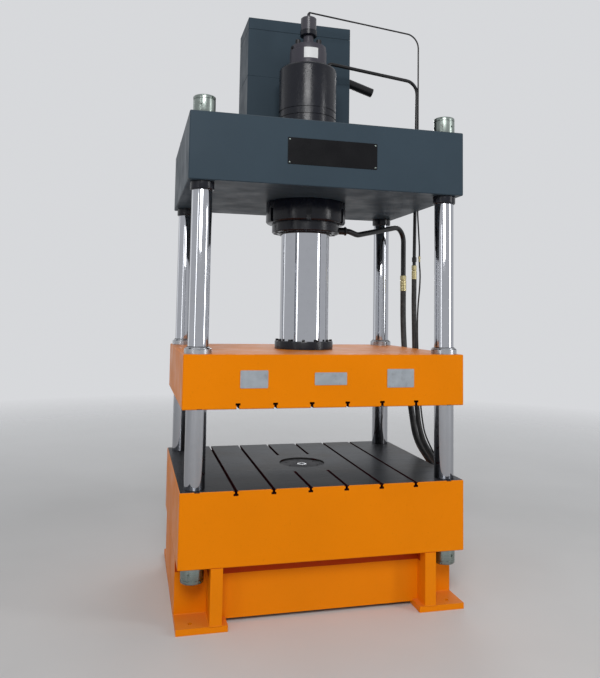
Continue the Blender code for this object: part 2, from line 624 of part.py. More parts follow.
def build_cylinder(frame):
    """The main cylinder's barrel and head, its lock nut under the crown and its gland."""
    slope_z, slope_r = HEAD_TOP - HEAD_SLOPE_DROP, HEAD_R - HEAD_SLOPE_RUN
    knee_z = HEAD_TOP - HEAD_SLOPE_DROP * HEAD_SLOPE_KNEE_SHARE
    knee_r = HEAD_R - HEAD_SLOPE_RUN * HEAD_SLOPE_KNEE_SHARE
    band_low, depth, width = CROWN_TOP + BAND_RISE, BAND_GROOVE_DEPTH, BAND_GROOVE
    band_high = band_low + BAND_HEIGHT
    bm = bmesh.new()
    add_turned(bm, [
        (BORE_R, BARREL_BOTTOM), (BARREL_R, BARREL_BOTTOM), (BARREL_R, CROWN_TOP + GAP),
        (HEAD_R, CROWN_TOP + GAP), (HEAD_R, band_low), (HEAD_R - depth, band_low),
        (HEAD_R - depth, band_low + width), (HEAD_R, band_low + width), (HEAD_R, band_high - width),
        (HEAD_R - depth, band_high - width), (HEAD_R - depth, band_high), (HEAD_R, band_high),
        (HEAD_R, slope_z), (knee_r, knee_z), (slope_r, HEAD_TOP), (HEAD_PORT_R, HEAD_TOP),
        (HEAD_PORT_R, HEAD_TOP - HEAD_WALL), (BORE_R, HEAD_TOP - HEAD_WALL),
    ], CYLINDER_SIDES)
    barrel = piece("main_cylinder", bm, BLACK, frame)
    port = bmesh.new()
    low, radius = HEAD_TOP - PRESSURE_PORT_SINK, PRESSURE_PORT_R + GAP
    add_turned(port, [(0, low), (radius, low), (radius, HEAD_TOP + OVERRUN), (0, HEAD_TOP + OVERRUN)],
               SMALL_SIDES, at=(PRESSURE_PORT_X, PRESSURE_PORT_Y, 0))
    cut(barrel, port, frame)

    chamfer, top = BIG_NUT_CHAMFER, CROWN_BOTTOM - GAP
    bm = bmesh.new()
    add_turned(bm, [
        (BARREL_R + GAP, BARREL_BOTTOM), (BIG_NUT_R - chamfer, BARREL_BOTTOM),
        (BIG_NUT_R, BARREL_BOTTOM + chamfer), (BIG_NUT_R, top - chamfer / 2), (BIG_NUT_R - chamfer / 2, top),
        (BARREL_R + GAP, top),
    ], CYLINDER_SIDES)
    piece("cylinder_lock_nut", bm, BLACK, frame)

    top, chamfer = BARREL_BOTTOM - GAP, GLAND_CHAMFER
    bm = bmesh.new()
    add_turned(bm, [
        (RAM_R + GAP, GLAND_BOTTOM - WIPER_DROP), (WIPER_R, GLAND_BOTTOM - WIPER_DROP), (WIPER_R, GLAND_BOTTOM),
        (GLAND_R - chamfer, GLAND_BOTTOM), (GLAND_R, GLAND_BOTTOM + chamfer), (GLAND_R, top),
        (BORE_R - GAP, top), (BORE_R - GAP, top + GLAND_SPIGOT), (RAM_R + GAP, top + GLAND_SPIGOT),
    ], CYLINDER_SIDES)
    gland = piece("cylinder_gland", bm, BLACK, frame)
    port = bmesh.new()
    radius, start = RETURN_PORT_R + GAP, GLAND_R - RETURN_PORT_SINK
    add_turned(port, [(0, start), (radius, start), (radius, GLAND_R + OVERRUN), (0, GLAND_R + OVERRUN)],
               SMALL_SIDES, at=(0, 0, GLAND_BOTTOM + RETURN_PORT_RISE), axis="X")
    cut(gland, port, frame)


def build_valve(frame):
    """The prefill valve on the cylinder's head, its pilot cylinder, and the suction pipe behind it."""
    low, chamfer, joint, groove = HEAD_TOP + GAP, VALVE_CHAMFER, VALVE_TOP - VALVE_JOINT_DROP, VALVE_JOINT_GROOVE
    bm = bmesh.new()
    add_turned(bm, [
        (0, low), (VALVE_R, low), (VALVE_R, joint - groove), (VALVE_R - groove, joint),
        (VALVE_R - groove, VALVE_TOP - chamfer), (VALVE_R - groove - chamfer, VALVE_TOP),
        (VALVE_NECK_R, VALVE_TOP), (VALVE_NECK_R, PILOT_BOTTOM - GAP), (0, PILOT_BOTTOM - GAP),
    ], CYLINDER_SIDES)
    valve = piece("prefill_valve", bm, VALVE_GREY, frame)
    seat = bmesh.new()
    start, radius = VALVE_R - SUCTION_SEAT_DEPTH, SUCTION_R + GAP
    add_turned(seat, [(0, start), (radius, start), (radius, VALVE_R + OVERRUN), (0, VALVE_R + OVERRUN)],
               COLUMN_SIDES, at=(0, 0, SUCTION_Z), axis="Y")
    cut(valve, seat, frame)

    ring_top = PILOT_BOTTOM + PILOT_RING_HEIGHT
    bm = bmesh.new()
    add_turned(bm, [
        (0, PILOT_BOTTOM), (PILOT_RING_R, PILOT_BOTTOM), (PILOT_RING_R, ring_top), (PILOT_R, ring_top),
        (PILOT_R, PILOT_TOP - PILOT_CHAMFER), (PILOT_R - PILOT_CHAMFER, PILOT_TOP), (PILOT_NIPPLE_R, PILOT_TOP),
        (PILOT_NIPPLE_R, PILOT_TOP + PILOT_NIPPLE_HEIGHT), (0, PILOT_TOP + PILOT_NIPPLE_HEIGHT),
    ], COLUMN_SIDES)
    piece("pilot_cylinder", bm, BLACK, frame)

    bm = bmesh.new()
    start, end = VALVE_R - SUCTION_SEAT_DEPTH + GAP, TANK_FRONT - GAP
    add_turned(bm, [(0, start), (SUCTION_R, start), (SUCTION_R, end), (0, end)],
               COLUMN_SIDES, at=(0, 0, SUCTION_Z), axis="Y")
    piece("suction_pipe", bm, BLACK, frame)


def build_tank(frame):
    """The oil tank on the crown, its lid and the blanked stub pipe on its right side."""
    for name, low, high in (
        ("oil_tank", CROWN_TOP + GAP, TANK_SEAM), ("oil_tank_lid", TANK_SEAM + GAP, TANK_TOP),
    ):
        bm = bmesh.new()
        add_block(bm, (-TANK_LEFT_REACH, TANK_FRONT, low), (TANK_RIGHT_REACH, TANK_BACK, high), TANK_CHAMFER)
        piece(name, bm, GREY, frame, smooth=False)
    inner, start = STUB_R - STUB_WALL, -2 * STUB_R
    bm = bmesh.new()
    verts = add_turned(bm, [
        (0, start), (STUB_R, start), (STUB_R, STUB_LENGTH), (inner, STUB_LENGTH),
        (inner, STUB_LENGTH - STUB_SINK), (0, STUB_LENGTH - STUB_SINK),
    ], SMALL_SIDES, axis="X")
    bmesh.ops.transform(bm, matrix=Matrix.Rotation(STUB_SLOPE, 4, "Y"), verts=verts)
    cut_flat(bm, (GAP, 0, 0), (1, 0, 0))
    piece("tank_stub_pipe", bm, BLACK, frame, (TANK_RIGHT_REACH, STUB_Y, STUB_Z))


def bent_path(corners, bends):
    """Points along straight runs between the corners, each corner rounded to its bend's radius."""
    corners = [Vector(c) for c in corners]
    path = [corners[0]]
    for before, corner, after, radius in zip(corners, corners[1:], corners[2:], bends):
        back, ahead = (before - corner).normalized(), (after - corner).normalized()
        half = back.angle(ahead) / 2
        reach = radius / math.tan(half)
        centre = corner + (back + ahead).normalized() * radius / math.sin(half)
        start, end = corner + back * reach - centre, corner + ahead * reach - centre
        for i in range(PIPE_POINT_STEPS + 1):
            path.append(centre + start.slerp(end, i / PIPE_POINT_STEPS).normalized() * radius)
    path.append(corners[-1])
    return path


def smooth_path(route, spacing, lead):
    """Points along one smooth curve through a route's points, its ends straight over a short lead."""
    points = [Vector(p) for p in route]
    leave = points[0] + (points[1] - points[0]).normalized() * lead
    arrive = points[-1] - (points[-1] - points[-2]).normalized() * lead
    points = [2 * points[0] - points[1]] + points + [2 * points[-1] - points[-2]]
    fine = []
    for a, b, c, d in zip(points, points[1:], points[2:], points[3:]):
        for i in range(HOSE_POINTS):
            t = i / HOSE_POINTS
            fine.append(0.5 * (
                2 * b + (c - a) * t + (2 * a - 5 * b + 4 * c - d) * t**2 + (3 * b - a - 3 * c + d) * t**3
            ))
    fine.append(points[-2])
    lengths = [0.0]
    for p, q in zip(fine, fine[1:]):
        lengths.append(lengths[-1] + (q - p).length)
    count = min(HOSE_POINTS, round(lengths[-1] / spacing))
    path, k = [], 0
    for i in range(count + 1):
        want = lengths[-1] * i / count
        while k < len(lengths) - 2 and lengths[k + 1] < want:
            k += 1
        share = (want - lengths[k]) / (lengths[k + 1] - lengths[k])
        path.append(fine[k].lerp(fine[k + 1], share))
    return [path[0], leave, *path[1:-1], arrive, path[-1]]


def tube(name, path, radius, finish, frame, resolution=2):
    """A round bar along a path, as a curve with filled caps."""
    curve = bpy.data.curves.new(name, "CURVE")
    curve.dimensions = "3D"
    curve.bevel_depth = radius
    curve.bevel_resolution = resolution
    curve.use_fill_caps = True
    spline = curve.splines.new("POLY")
    spline.points.add(len(path) - 1)
    for point, place in zip(spline.points, path):
        point.co = (*place, 1.0)
    spline.use_smooth = True
    place_mesh(name, curve, finish, frame)


def build_pressure_line(frame):
    """The pressure pipe: up out of the head, across to the right and down the crown's side."""
    seat = HEAD_TOP - PRESSURE_PORT_SINK + GAP
    top = HEAD_TOP + PRESSURE_PORT_RISE
    x, y = PRESSURE_PORT_X, PRESSURE_PORT_Y
    bm = bmesh.new()
    add_turned(bm, [(0, seat), (PRESSURE_PORT_R, seat), (PRESSURE_PORT_R, top), (0, top)],
               SMALL_SIDES, at=(x, y, 0))
    piece("pressure_port", bm, BLACK, frame)
    run_z, end = HEAD_TOP + PRESSURE_RUN_RISE, PRESSURE_FITTING[0] + GAP
    path = bent_path([
        (x, y, top + GAP), (x, y, run_z), (PRESSURE_X, PRESSURE_TOP_Y, run_z - PRESSURE_RUN_FALL),
        (PRESSURE_X, PRESSURE_Y, end + PIPE_LEAD), (PRESSURE_X, PRESSURE_Y, end),
    ], (PORT_BEND, PRESSURE_BEND, PRESSURE_BEND))
    tube("pressure_pipe", path, PRESSURE_PIPE_R, BLACK, frame)
    build_fitting("pressure_fitting", PRESSURE_FITTING, frame, PRESSURE_X, PRESSURE_Y)


def build_return_line(frame):
    """The return pipe: out of the gland's port, past the columns and down outside the slide."""
    z = GLAND_BOTTOM + RETURN_PORT_RISE
    start, end = GLAND_R - RETURN_PORT_SINK + GAP, GLAND_R + RETURN_PORT_REACH
    bm = bmesh.new()
    add_turned(bm, [(0, start), (RETURN_PORT_R, start), (RETURN_PORT_R, end), (0, end)],
               SMALL_SIDES, at=(0, 0, z), axis="X")
    piece("return_port", bm, BLACK, frame)
    turn_x = end + RETURN_LEAD
    dip_x = turn_x + (RETURN_X - turn_x) * RETURN_DIP_SHARE
    path = bent_path([
        (end + GAP, 0, z), (turn_x, 0, z), (dip_x, RETURN_Y * RETURN_DIP_SHARE, z - RETURN_DIP),
        (RETURN_X, RETURN_Y, z + RETURN_CREST), (RETURN_X, RETURN_Y, RETURN_FITTING[0] + GAP),
    ], (RETURN_LEAD_BEND, RETURN_DIP_BEND, RETURN_BEND))
    tube("return_pipe", path, RETURN_PIPE_R, BLACK, frame, resolution=3)
    build_fitting("return_fitting", RETURN_FITTING, frame, RETURN_X, RETURN_Y)


def build_pilot_line(frame):
    """The thin pilot tube from the pilot cylinder's top, round the right side, down to its fitting."""
    start = PILOT_TOP + PILOT_NIPPLE_HEIGHT + GAP
    run_z = start + TUBE_RUN_RISE
    path = bent_path([
        (0, 0, start), (0, 0, run_z), (TUBE_X, TUBE_Y, run_z - TUBE_RUN_FALL), (TUBE_X, TUBE_Y, TUBE_LEAVE_Z),
        (TUBE_X, TUBE_LOW_Y, TUBE_FITTING[0] + TUBE_BEND), (TUBE_X, TUBE_LOW_Y, TUBE_FITTING[0] + GAP),
    ], (TUBE_RUN_RISE / 2, TUBE_TURN, TUBE_BEND, TUBE_BEND))
    tube("pilot_tube", path, TUBE_R, BLACK, frame)
    build_fitting("pilot_fitting", TUBE_FITTING, frame, TUBE_X, TUBE_LOW_Y)


def build_clamp(frame):
    """The block that holds the pressure pipe and the pilot tube to the crown's right side."""
    lean_top = HEAD_TOP + PRESSURE_RUN_RISE - PRESSURE_RUN_FALL
    lean = (PRESSURE_Y - PRESSURE_TOP_Y) / (lean_top - PRESSURE_FITTING[0] - PIPE_LEAD)
    pipe_y = PRESSURE_TOP_Y + lean * (lean_top - CLAMP_Z)
    x0, x1 = SIDE + GAP, PRESSURE_X + PRESSURE_PIPE_R + CLAMP_MARGIN / 2
    y0, y1 = TUBE_Y - TUBE_R - CLAMP_MARGIN, pipe_y + PRESSURE_PIPE_R + CLAMP_MARGIN
    z0, z1 = CLAMP_Z - CLAMP_HEIGHT / 2, CLAMP_Z + CLAMP_HEIGHT / 2
    bm = bmesh.new()
    add_block(bm, (x0, y0, z0), (x1, y1, z1))
    clamp = piece("pipe_clamp", bm, BLACK, frame, smooth=False)
    holes = bmesh.new()
    for x, y, radius in ((PRESSURE_X, pipe_y, PRESSURE_PIPE_R), (TUBE_X, TUBE_Y, TUBE_R)):
        hole = radius + CLAMP_PLAY
        add_turned(holes, [(0, z0 - OVERRUN), (hole, z0 - OVERRUN), (hole, z1 + OVERRUN), (0, z1 + OVERRUN)],
                   SMALL_SIDES, at=(x, y, 0))
    cut(clamp, holes, frame)


def build_fitting(name, sizes, frame, x, y):
    """A hose's upper end fitting: a hexagon nut over a grooved sleeve."""
    top, bottom, sleeve, nut, nut_height = sizes
    waist = top - nut_height
    step = (waist - bottom) / 4
    bm = bmesh.new()
    add_turned(bm, [
        (0, bottom), (sleeve - FITTING_CHAMFER, bottom), (sleeve, bottom + FITTING_CHAMFER),
        (sleeve, bottom + step), (sleeve - FITTING_GROOVE, bottom + step + FITTING_GROOVE),
        (sleeve - FITTING_GROOVE, bottom + 2 * step), (sleeve, bottom + 2 * step + FITTING_GROOVE),
        (sleeve, waist + OVERRUN / 2), (0, waist + OVERRUN / 2),
    ], SMALL_SIDES)
    fitting = piece(name, bm, BRASS, frame, (x, y, 0))
    hexagon = bmesh.new()
    add_turned(hexagon, [
        (0, waist), (nut - FITTING_CHAMFER, waist), (nut, waist + FITTING_CHAMFER),
        (nut, top - FITTING_CHAMFER), (nut - FITTING_CHAMFER, top), (0, top),
    ], HEX_SIDES)
    cut(fitting, hexagon, frame, (x, y, 0), operation="UNION")


def build_hose(name, x, y, route, radius, sizes, frame):
    """A free hose from its fitting at x, y along its route, with the connector on its far end."""
    route = [(x, y, sizes[1] - GAP)] + [(SIDE + out, back, z) for out, back, z in route]
    tube(name, smooth_path(route, HOSE_SPACING * 2 * radius, radius), radius, RUBBER, frame)
    sleeve, nut = sizes[2], sizes[3]
    end, back = Vector(route[-1]), Vector(route[-2])
    way = (end - back).normalized()
    long, collar = CONNECTOR_LENGTH, CONNECTOR_LENGTH - CONNECTOR_NUT_LENGTH
    mouth = nut - CONNECTOR_RIM if nut > 2 * CONNECTOR_RIM else nut / 2
    bm = bmesh.new()
    add_turned(bm, [
        (0, 0), (sleeve - FITTING_CHAMFER, 0), (sleeve, FITTING_CHAMFER), (sleeve, collar + FITTING_CHAMFER),
        (0, collar + FITTING_CHAMFER),
    ], SMALL_SIDES)
    connector = piece(f"{name}_connector", bm, BRASS, frame, end + way * GAP)
    hexagon = bmesh.new()
    add_turned(hexagon, [
        (0, collar), (nut - FITTING_CHAMFER, collar), (nut, collar + FITTING_CHAMFER), (nut, long),
        (mouth, long), (mouth, long - CONNECTOR_RIM), (0, long - CONNECTOR_RIM),
    ], HEX_SIDES)
    cutter = cut(connector, hexagon, frame, end + way * GAP, operation="UNION")
    for obj in (connector, cutter):
        obj.rotation_euler = way.to_track_quat("Z", "X").to_euler()


def build_plate(name, sizes, underside, finish, carrier):
    """A bare plate on the front of a beam."""
    x, rise, width, height = sizes
    z = underside + rise
    bm = bmesh.new()
    add_block(bm, (x - width / 2, FRONT - GAP - PLATE_THICKNESS, z - height / 2),
              (x + width / 2, FRONT - GAP, z + height / 2))
    upright = [e for e in bm.edges if abs(e.verts[0].co.y - e.verts[1].co.y) > PLATE_THICKNESS / 2]
    bmesh.ops.bevel(bm, geom=upright, offset=PLATE_CORNER, segments=2, profile=0.5, affect="EDGES")
    piece(name, bm, finish, carrier, smooth=False)


def build_ejector(frame, rod_carrier):
    """The plate in the bed's recess, and the ejector cylinder under the bed with its rod."""
    plate_low, plate_top = BED_TOP - RECESS_DEPTH + GAP, BED_TOP - EJECTOR_PLATE_SINK
    radius, chamfer = RECESS_R - GAP, EJECTOR_PLATE_CHAMFER
    bm = bmesh.new()
    add_turned(bm, [
        (ROD_R + GAP, plate_low), (radius, plate_low), (radius, plate_top - chamfer),
        (radius - chamfer, plate_top), (ROD_R + GAP, plate_top),
    ], CYLINDER_SIDES)
    piece("ejector_plate", bm, STEEL, frame)

    gland_low, gland_top = BED_BOTTOM - GAP - EJECTOR_FLANGE, BED_BOTTOM - GAP
    bm = bmesh.new()
    add_turned(bm, [
        (ROD_R + GAP, gland_low - EJECTOR_SPIGOT), (EJECTOR_BORE_R - GAP, gland_low - EJECTOR_SPIGOT),
        (EJECTOR_BORE_R - GAP, gland_low), (EJECTOR_FLANGE_R, gland_low), (EJECTOR_FLANGE_R, gland_top),
        (ROD_R + GAP, gland_top),
    ], COLUMN_SIDES)
    piece("ejector_gland", bm, BLACK, frame)

    top, floor = gland_low - GAP, EJECTOR_LIFT + EJECTOR_WALL
    bm = bmesh.new()
    add_turned(bm, [
        (0, EJECTOR_LIFT), (EJECTOR_R, EJECTOR_LIFT), (EJECTOR_R, top), (EJECTOR_BORE_R, top),
        (EJECTOR_BORE_R, floor), (0, floor),
    ], COLUMN_SIDES)
    piece("ejector_cylinder", bm, BLACK, frame)

    low = floor + EJECTOR_PISTON_LIFT
    high, chamfer = low + EJECTOR_PISTON, ROD_CHAMFER
    bm = bmesh.new()
    add_turned(bm, [
        (0, low), (EJECTOR_BORE_R - GAP, low), (EJECTOR_BORE_R - GAP, high), (ROD_R, high),
        (ROD_R, plate_top - chamfer), (ROD_R - chamfer, plate_top), (ROD_THREAD_R, plate_top),
        (ROD_THREAD_R, plate_top - ROD_THREAD_DEPTH), (0, plate_top - ROD_THREAD_DEPTH),
    ], COLUMN_SIDES)
    piece("ejector_rod", bm, CHROME, rod_carrier)


def build_slide(carrier):
    """The slide with its T-slots, and the guide bushes that run on the columns."""
    slide = beam("slide", SLIDE_BOTTOM, SLIDE_TOP, ORANGE, carrier)
    bm = bmesh.new()
    add_through_holes(bm, BUSH_SLEEVE_R + GAP, SLIDE_BOTTOM, SLIDE_TOP)
    add_slots(bm, SLIDE_BOTTOM, 1, SLIDE_SLOT_DEPTH)
    floor, radius = SLIDE_TOP - RAM_SPIGOT_DEPTH - GAP, RAM_SPIGOT_R + GAP
    add_turned(bm, [(0, floor), (radius, floor), (radius, SLIDE_TOP + OVERRUN), (0, SLIDE_TOP + OVERRUN)],
               CYLINDER_SIDES)
    cut(slide, bm, carrier)

    inner, seat = COLUMN_R + GAP, SLIDE_TOP + GAP
    flange_top = seat + BUSH_FLANGE_HEIGHT
    bush = bmesh.new()
    add_turned(bush, [
        (inner, SLIDE_BOTTOM + BUSH_SLEEVE_LIFT), (BUSH_SLEEVE_R, SLIDE_BOTTOM + BUSH_SLEEVE_LIFT),
        (BUSH_SLEEVE_R, seat), (BUSH_FLANGE_R, seat), (BUSH_FLANGE_R, flange_top), (BUSH_LIP_R, flange_top),
        (BUSH_LIP_R, flange_top + BUSH_LIP_HEIGHT), (inner, flange_top + BUSH_LIP_HEIGHT),
    ], COLUMN_SIDES)
    first = None
    for place, x, y in COLUMN_PLACES:
        if first is None:
            first = piece(f"guide_bush_{place}", bush, STEEL, carrier, (x, y, 0))
        else:
            place_mesh(f"guide_bush_{place}", first.data, STEEL, carrier, (x, y, 0))


def build_ram(carrier):
    """The ram with its piston, and the two half rings that clamp its foot to the slide."""
    foot = SLIDE_TOP + GAP
    low, high = SLIDE_TOP + RAM_GROOVE_BOTTOM, SLIDE_TOP + RAM_GROOVE_TOP
    piston, top, chamfer = BORE_R - GAP, PISTON_BOTTOM + PISTON_HEIGHT, PISTON_CHAMFER
    outline = [
        (0, SLIDE_TOP - RAM_SPIGOT_DEPTH), (RAM_SPIGOT_R, SLIDE_TOP - RAM_SPIGOT_DEPTH), (RAM_SPIGOT_R, foot),
        (RAM_R, foot), (RAM_R, low), (RAM_GROOVE_R, low), (RAM_GROOVE_R, high), (RAM_R, high),
        (RAM_R, PISTON_BOTTOM), (piston, PISTON_BOTTOM),
    ]
    for rise in PISTON_GROOVE_RISES:
        start, end = PISTON_BOTTOM + rise, PISTON_BOTTOM + rise + PISTON_GROOVE_HEIGHT
        outline += [
            (piston, start), (piston - PISTON_GROOVE_DEPTH, start), (piston - PISTON_GROOVE_DEPTH, end),
            (piston, end),
        ]
    outline += [(piston, top - chamfer), (piston - chamfer, top), (0, top)]
    bm = bmesh.new()
    add_turned(bm, outline, CYLINDER_SIDES)
    piece("ram", bm, CHROME, carrier)

    inner, lip = RAM_R + GAP, RAM_GROOVE_R + GAP
    crest, chamfer = SLIDE_TOP + CLAMP_RING_HEIGHT, CLAMP_RING_CHAMFER
    for name, side in (("ram_clamp_front", -1), ("ram_clamp_rear", 1)):
        bm = bmesh.new()
        add_turned(bm, [
            (inner, foot), (CLAMP_RING_R, foot), (CLAMP_RING_R, crest - chamfer), (CLAMP_RING_R - chamfer, crest),
            (inner, crest), (inner, high - GAP), (lip, high - GAP), (lip, low + GAP), (inner, low + GAP),
        ], CYLINDER_SIDES)
        cut_flat(bm, (0, side * GAP, 0), (0, side, 0))
        piece(name, bm, BLACK, carrier)


def main():
    """Build the press on three carriers: what stands, what moves with the slide, and the ejector's rod."""
    clear_scene()
    frame = empty("press_axis", (AXIS_X, AXIS_Y, 0))
    moving = empty("slide_axis", (AXIS_X, AXIS_Y, 0))
    ejector = empty("ejector_axis", (AXIS_X, AXIS_Y, 0))
    build_base(frame)
    build_bed(frame)
    build_columns(frame)
    build_crown(frame)
    build_cylinder(frame)
    build_valve(frame)
    build_tank(frame)
    build_pressure_line(frame)
    build_return_line(frame)
    build_pilot_line(frame)
    build_clamp(frame)
    build_plate("crown_nameplate", NAMEPLATE, CROWN_BOTTOM, BLACK, frame)
    build_ejector(frame, ejector)
    build_slide(moving)
    build_ram(moving)
    build_plate("slide_label_left", LABEL_LEFT, SLIDE_BOTTOM, SILVER, moving)
    build_plate("slide_label_middle", LABEL_MIDDLE, SLIDE_BOTTOM, SILVER, moving)
    build_plate("slide_label_right", LABEL_RIGHT, SLIDE_BOTTOM, SILVER, moving)
    build_hose("pressure_hose", PRESSURE_X, PRESSURE_Y, PRESSURE_HOSE_ROUTE, PRESSURE_HOSE_R,
               PRESSURE_FITTING, frame)
    build_hose("return_hose", RETURN_X, RETURN_Y, RETURN_HOSE_ROUTE, RETURN_HOSE_R, RETURN_FITTING, frame)
    build_hose("pilot_hose", TUBE_X, TUBE_LOW_Y, PILOT_HOSE_ROUTE, PILOT_HOSE_R, TUBE_FITTING, frame)


main()
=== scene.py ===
"""The looks of a four-column hydraulic press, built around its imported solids.

Metres, +Z up, the front of the press faces -Y. Sizes and places are measured from the press axis, the
vertical line through the ram, and every finished piece is moved onto that axis.
"""

import logging
import math
from dataclasses import dataclass
from enum import Enum

import bmesh
import bpy
from mathutils import Matrix, Vector


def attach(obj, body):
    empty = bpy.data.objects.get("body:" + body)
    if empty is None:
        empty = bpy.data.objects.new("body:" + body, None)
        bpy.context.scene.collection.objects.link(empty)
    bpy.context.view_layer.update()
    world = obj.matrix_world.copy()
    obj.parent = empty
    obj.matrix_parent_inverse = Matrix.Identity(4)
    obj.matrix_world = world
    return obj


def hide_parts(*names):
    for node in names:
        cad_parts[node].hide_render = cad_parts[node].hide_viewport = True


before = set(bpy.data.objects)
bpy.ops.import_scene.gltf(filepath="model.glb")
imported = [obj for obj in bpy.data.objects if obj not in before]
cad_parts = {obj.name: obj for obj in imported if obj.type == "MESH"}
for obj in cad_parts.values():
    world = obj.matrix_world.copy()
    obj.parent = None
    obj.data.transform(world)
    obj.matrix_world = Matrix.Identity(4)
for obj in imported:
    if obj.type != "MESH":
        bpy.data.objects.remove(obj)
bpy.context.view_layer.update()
log = logging.getLogger("press")

Colour = tuple[float, float, float]
Point = tuple[float, float, float]
Pair = tuple[float, float]
Outline = list[Pair]              # points of radius and height
Seat = tuple[Point, Point]        # a screw's place and the direction that its head looks in
Path = list[Point] | list[Vector]
Cloud = tuple[float, float]       # a noise's cells a metre and its detail
Socket = bpy.types.NodeSocket
Mesh = bmesh.types.BMesh
Verts = list[bmesh.types.BMVert]

PRESS_AXIS = Vector((-0.029, 0.00115, 0.0))
UP: Point = (0, 0, 1)
DOWN: Point = (0, 0, -1)
GAP = 0.0003                      # between pieces that touch
REACH = 0.01                      # of a cutter beyond the face that it opens
MERGE = 0.000001                  # points that are closer than this are one
SHARP = math.radians(35)          # edges that turn by more are drawn sharp
LINE_DEPTH = 0.0002               # of grinding and turning lines
SIDES = 96                        # of round work
FINE_SIDES = 128                  # of the ram and its cylinder
SMALL_SIDES = 32                  # of fittings
HOLE_SIDES = 24                   # of the sinks of screws
HEX_SIDES = 6
FULL_TURN = 2 * math.pi

# The beams and heights that the pieces below share with the solids
HALF_WIDTH, HALF_DEPTH = 0.750, 0.565
BASE_TOP, BED_TOP = 0.300, 0.665
SLIDE_BOTTOM, SLIDE_TOP = 1.060, 1.330
CROWN_BOTTOM, CROWN_TOP = 2.200, 2.550
COLUMN_X, COLUMN_Y = 0.672, 0.487
RAM_R, BORE_R, BARREL_R, HEAD_R = 0.145, 0.150, 0.168, 0.1745
BARREL_BOTTOM, HEAD_TOP = 2.0735, 3.028
COLUMN_R, COLUMN_NECK_R = 0.0525, 0.045


class Body(Enum):
    """The bodies that pieces ride on."""

    FRAME = "frame"
    SLIDE = "slide"
    EJECTOR = "ejector"


class Slot(Enum):
    """The record's material slots."""

    ORANGE = "orange_paint"
    GREY = "grey_paint"
    BLACK = "black_paint"
    VALVE = "valve_paint"
    CHROME = "hard_chrome"
    ZINC = "zinc_plate"
    STEEL = "ground_steel"
    YELLOW = "yellow_zinc"
    RUBBER = "hose_rubber"
    LABEL = "label_silver"


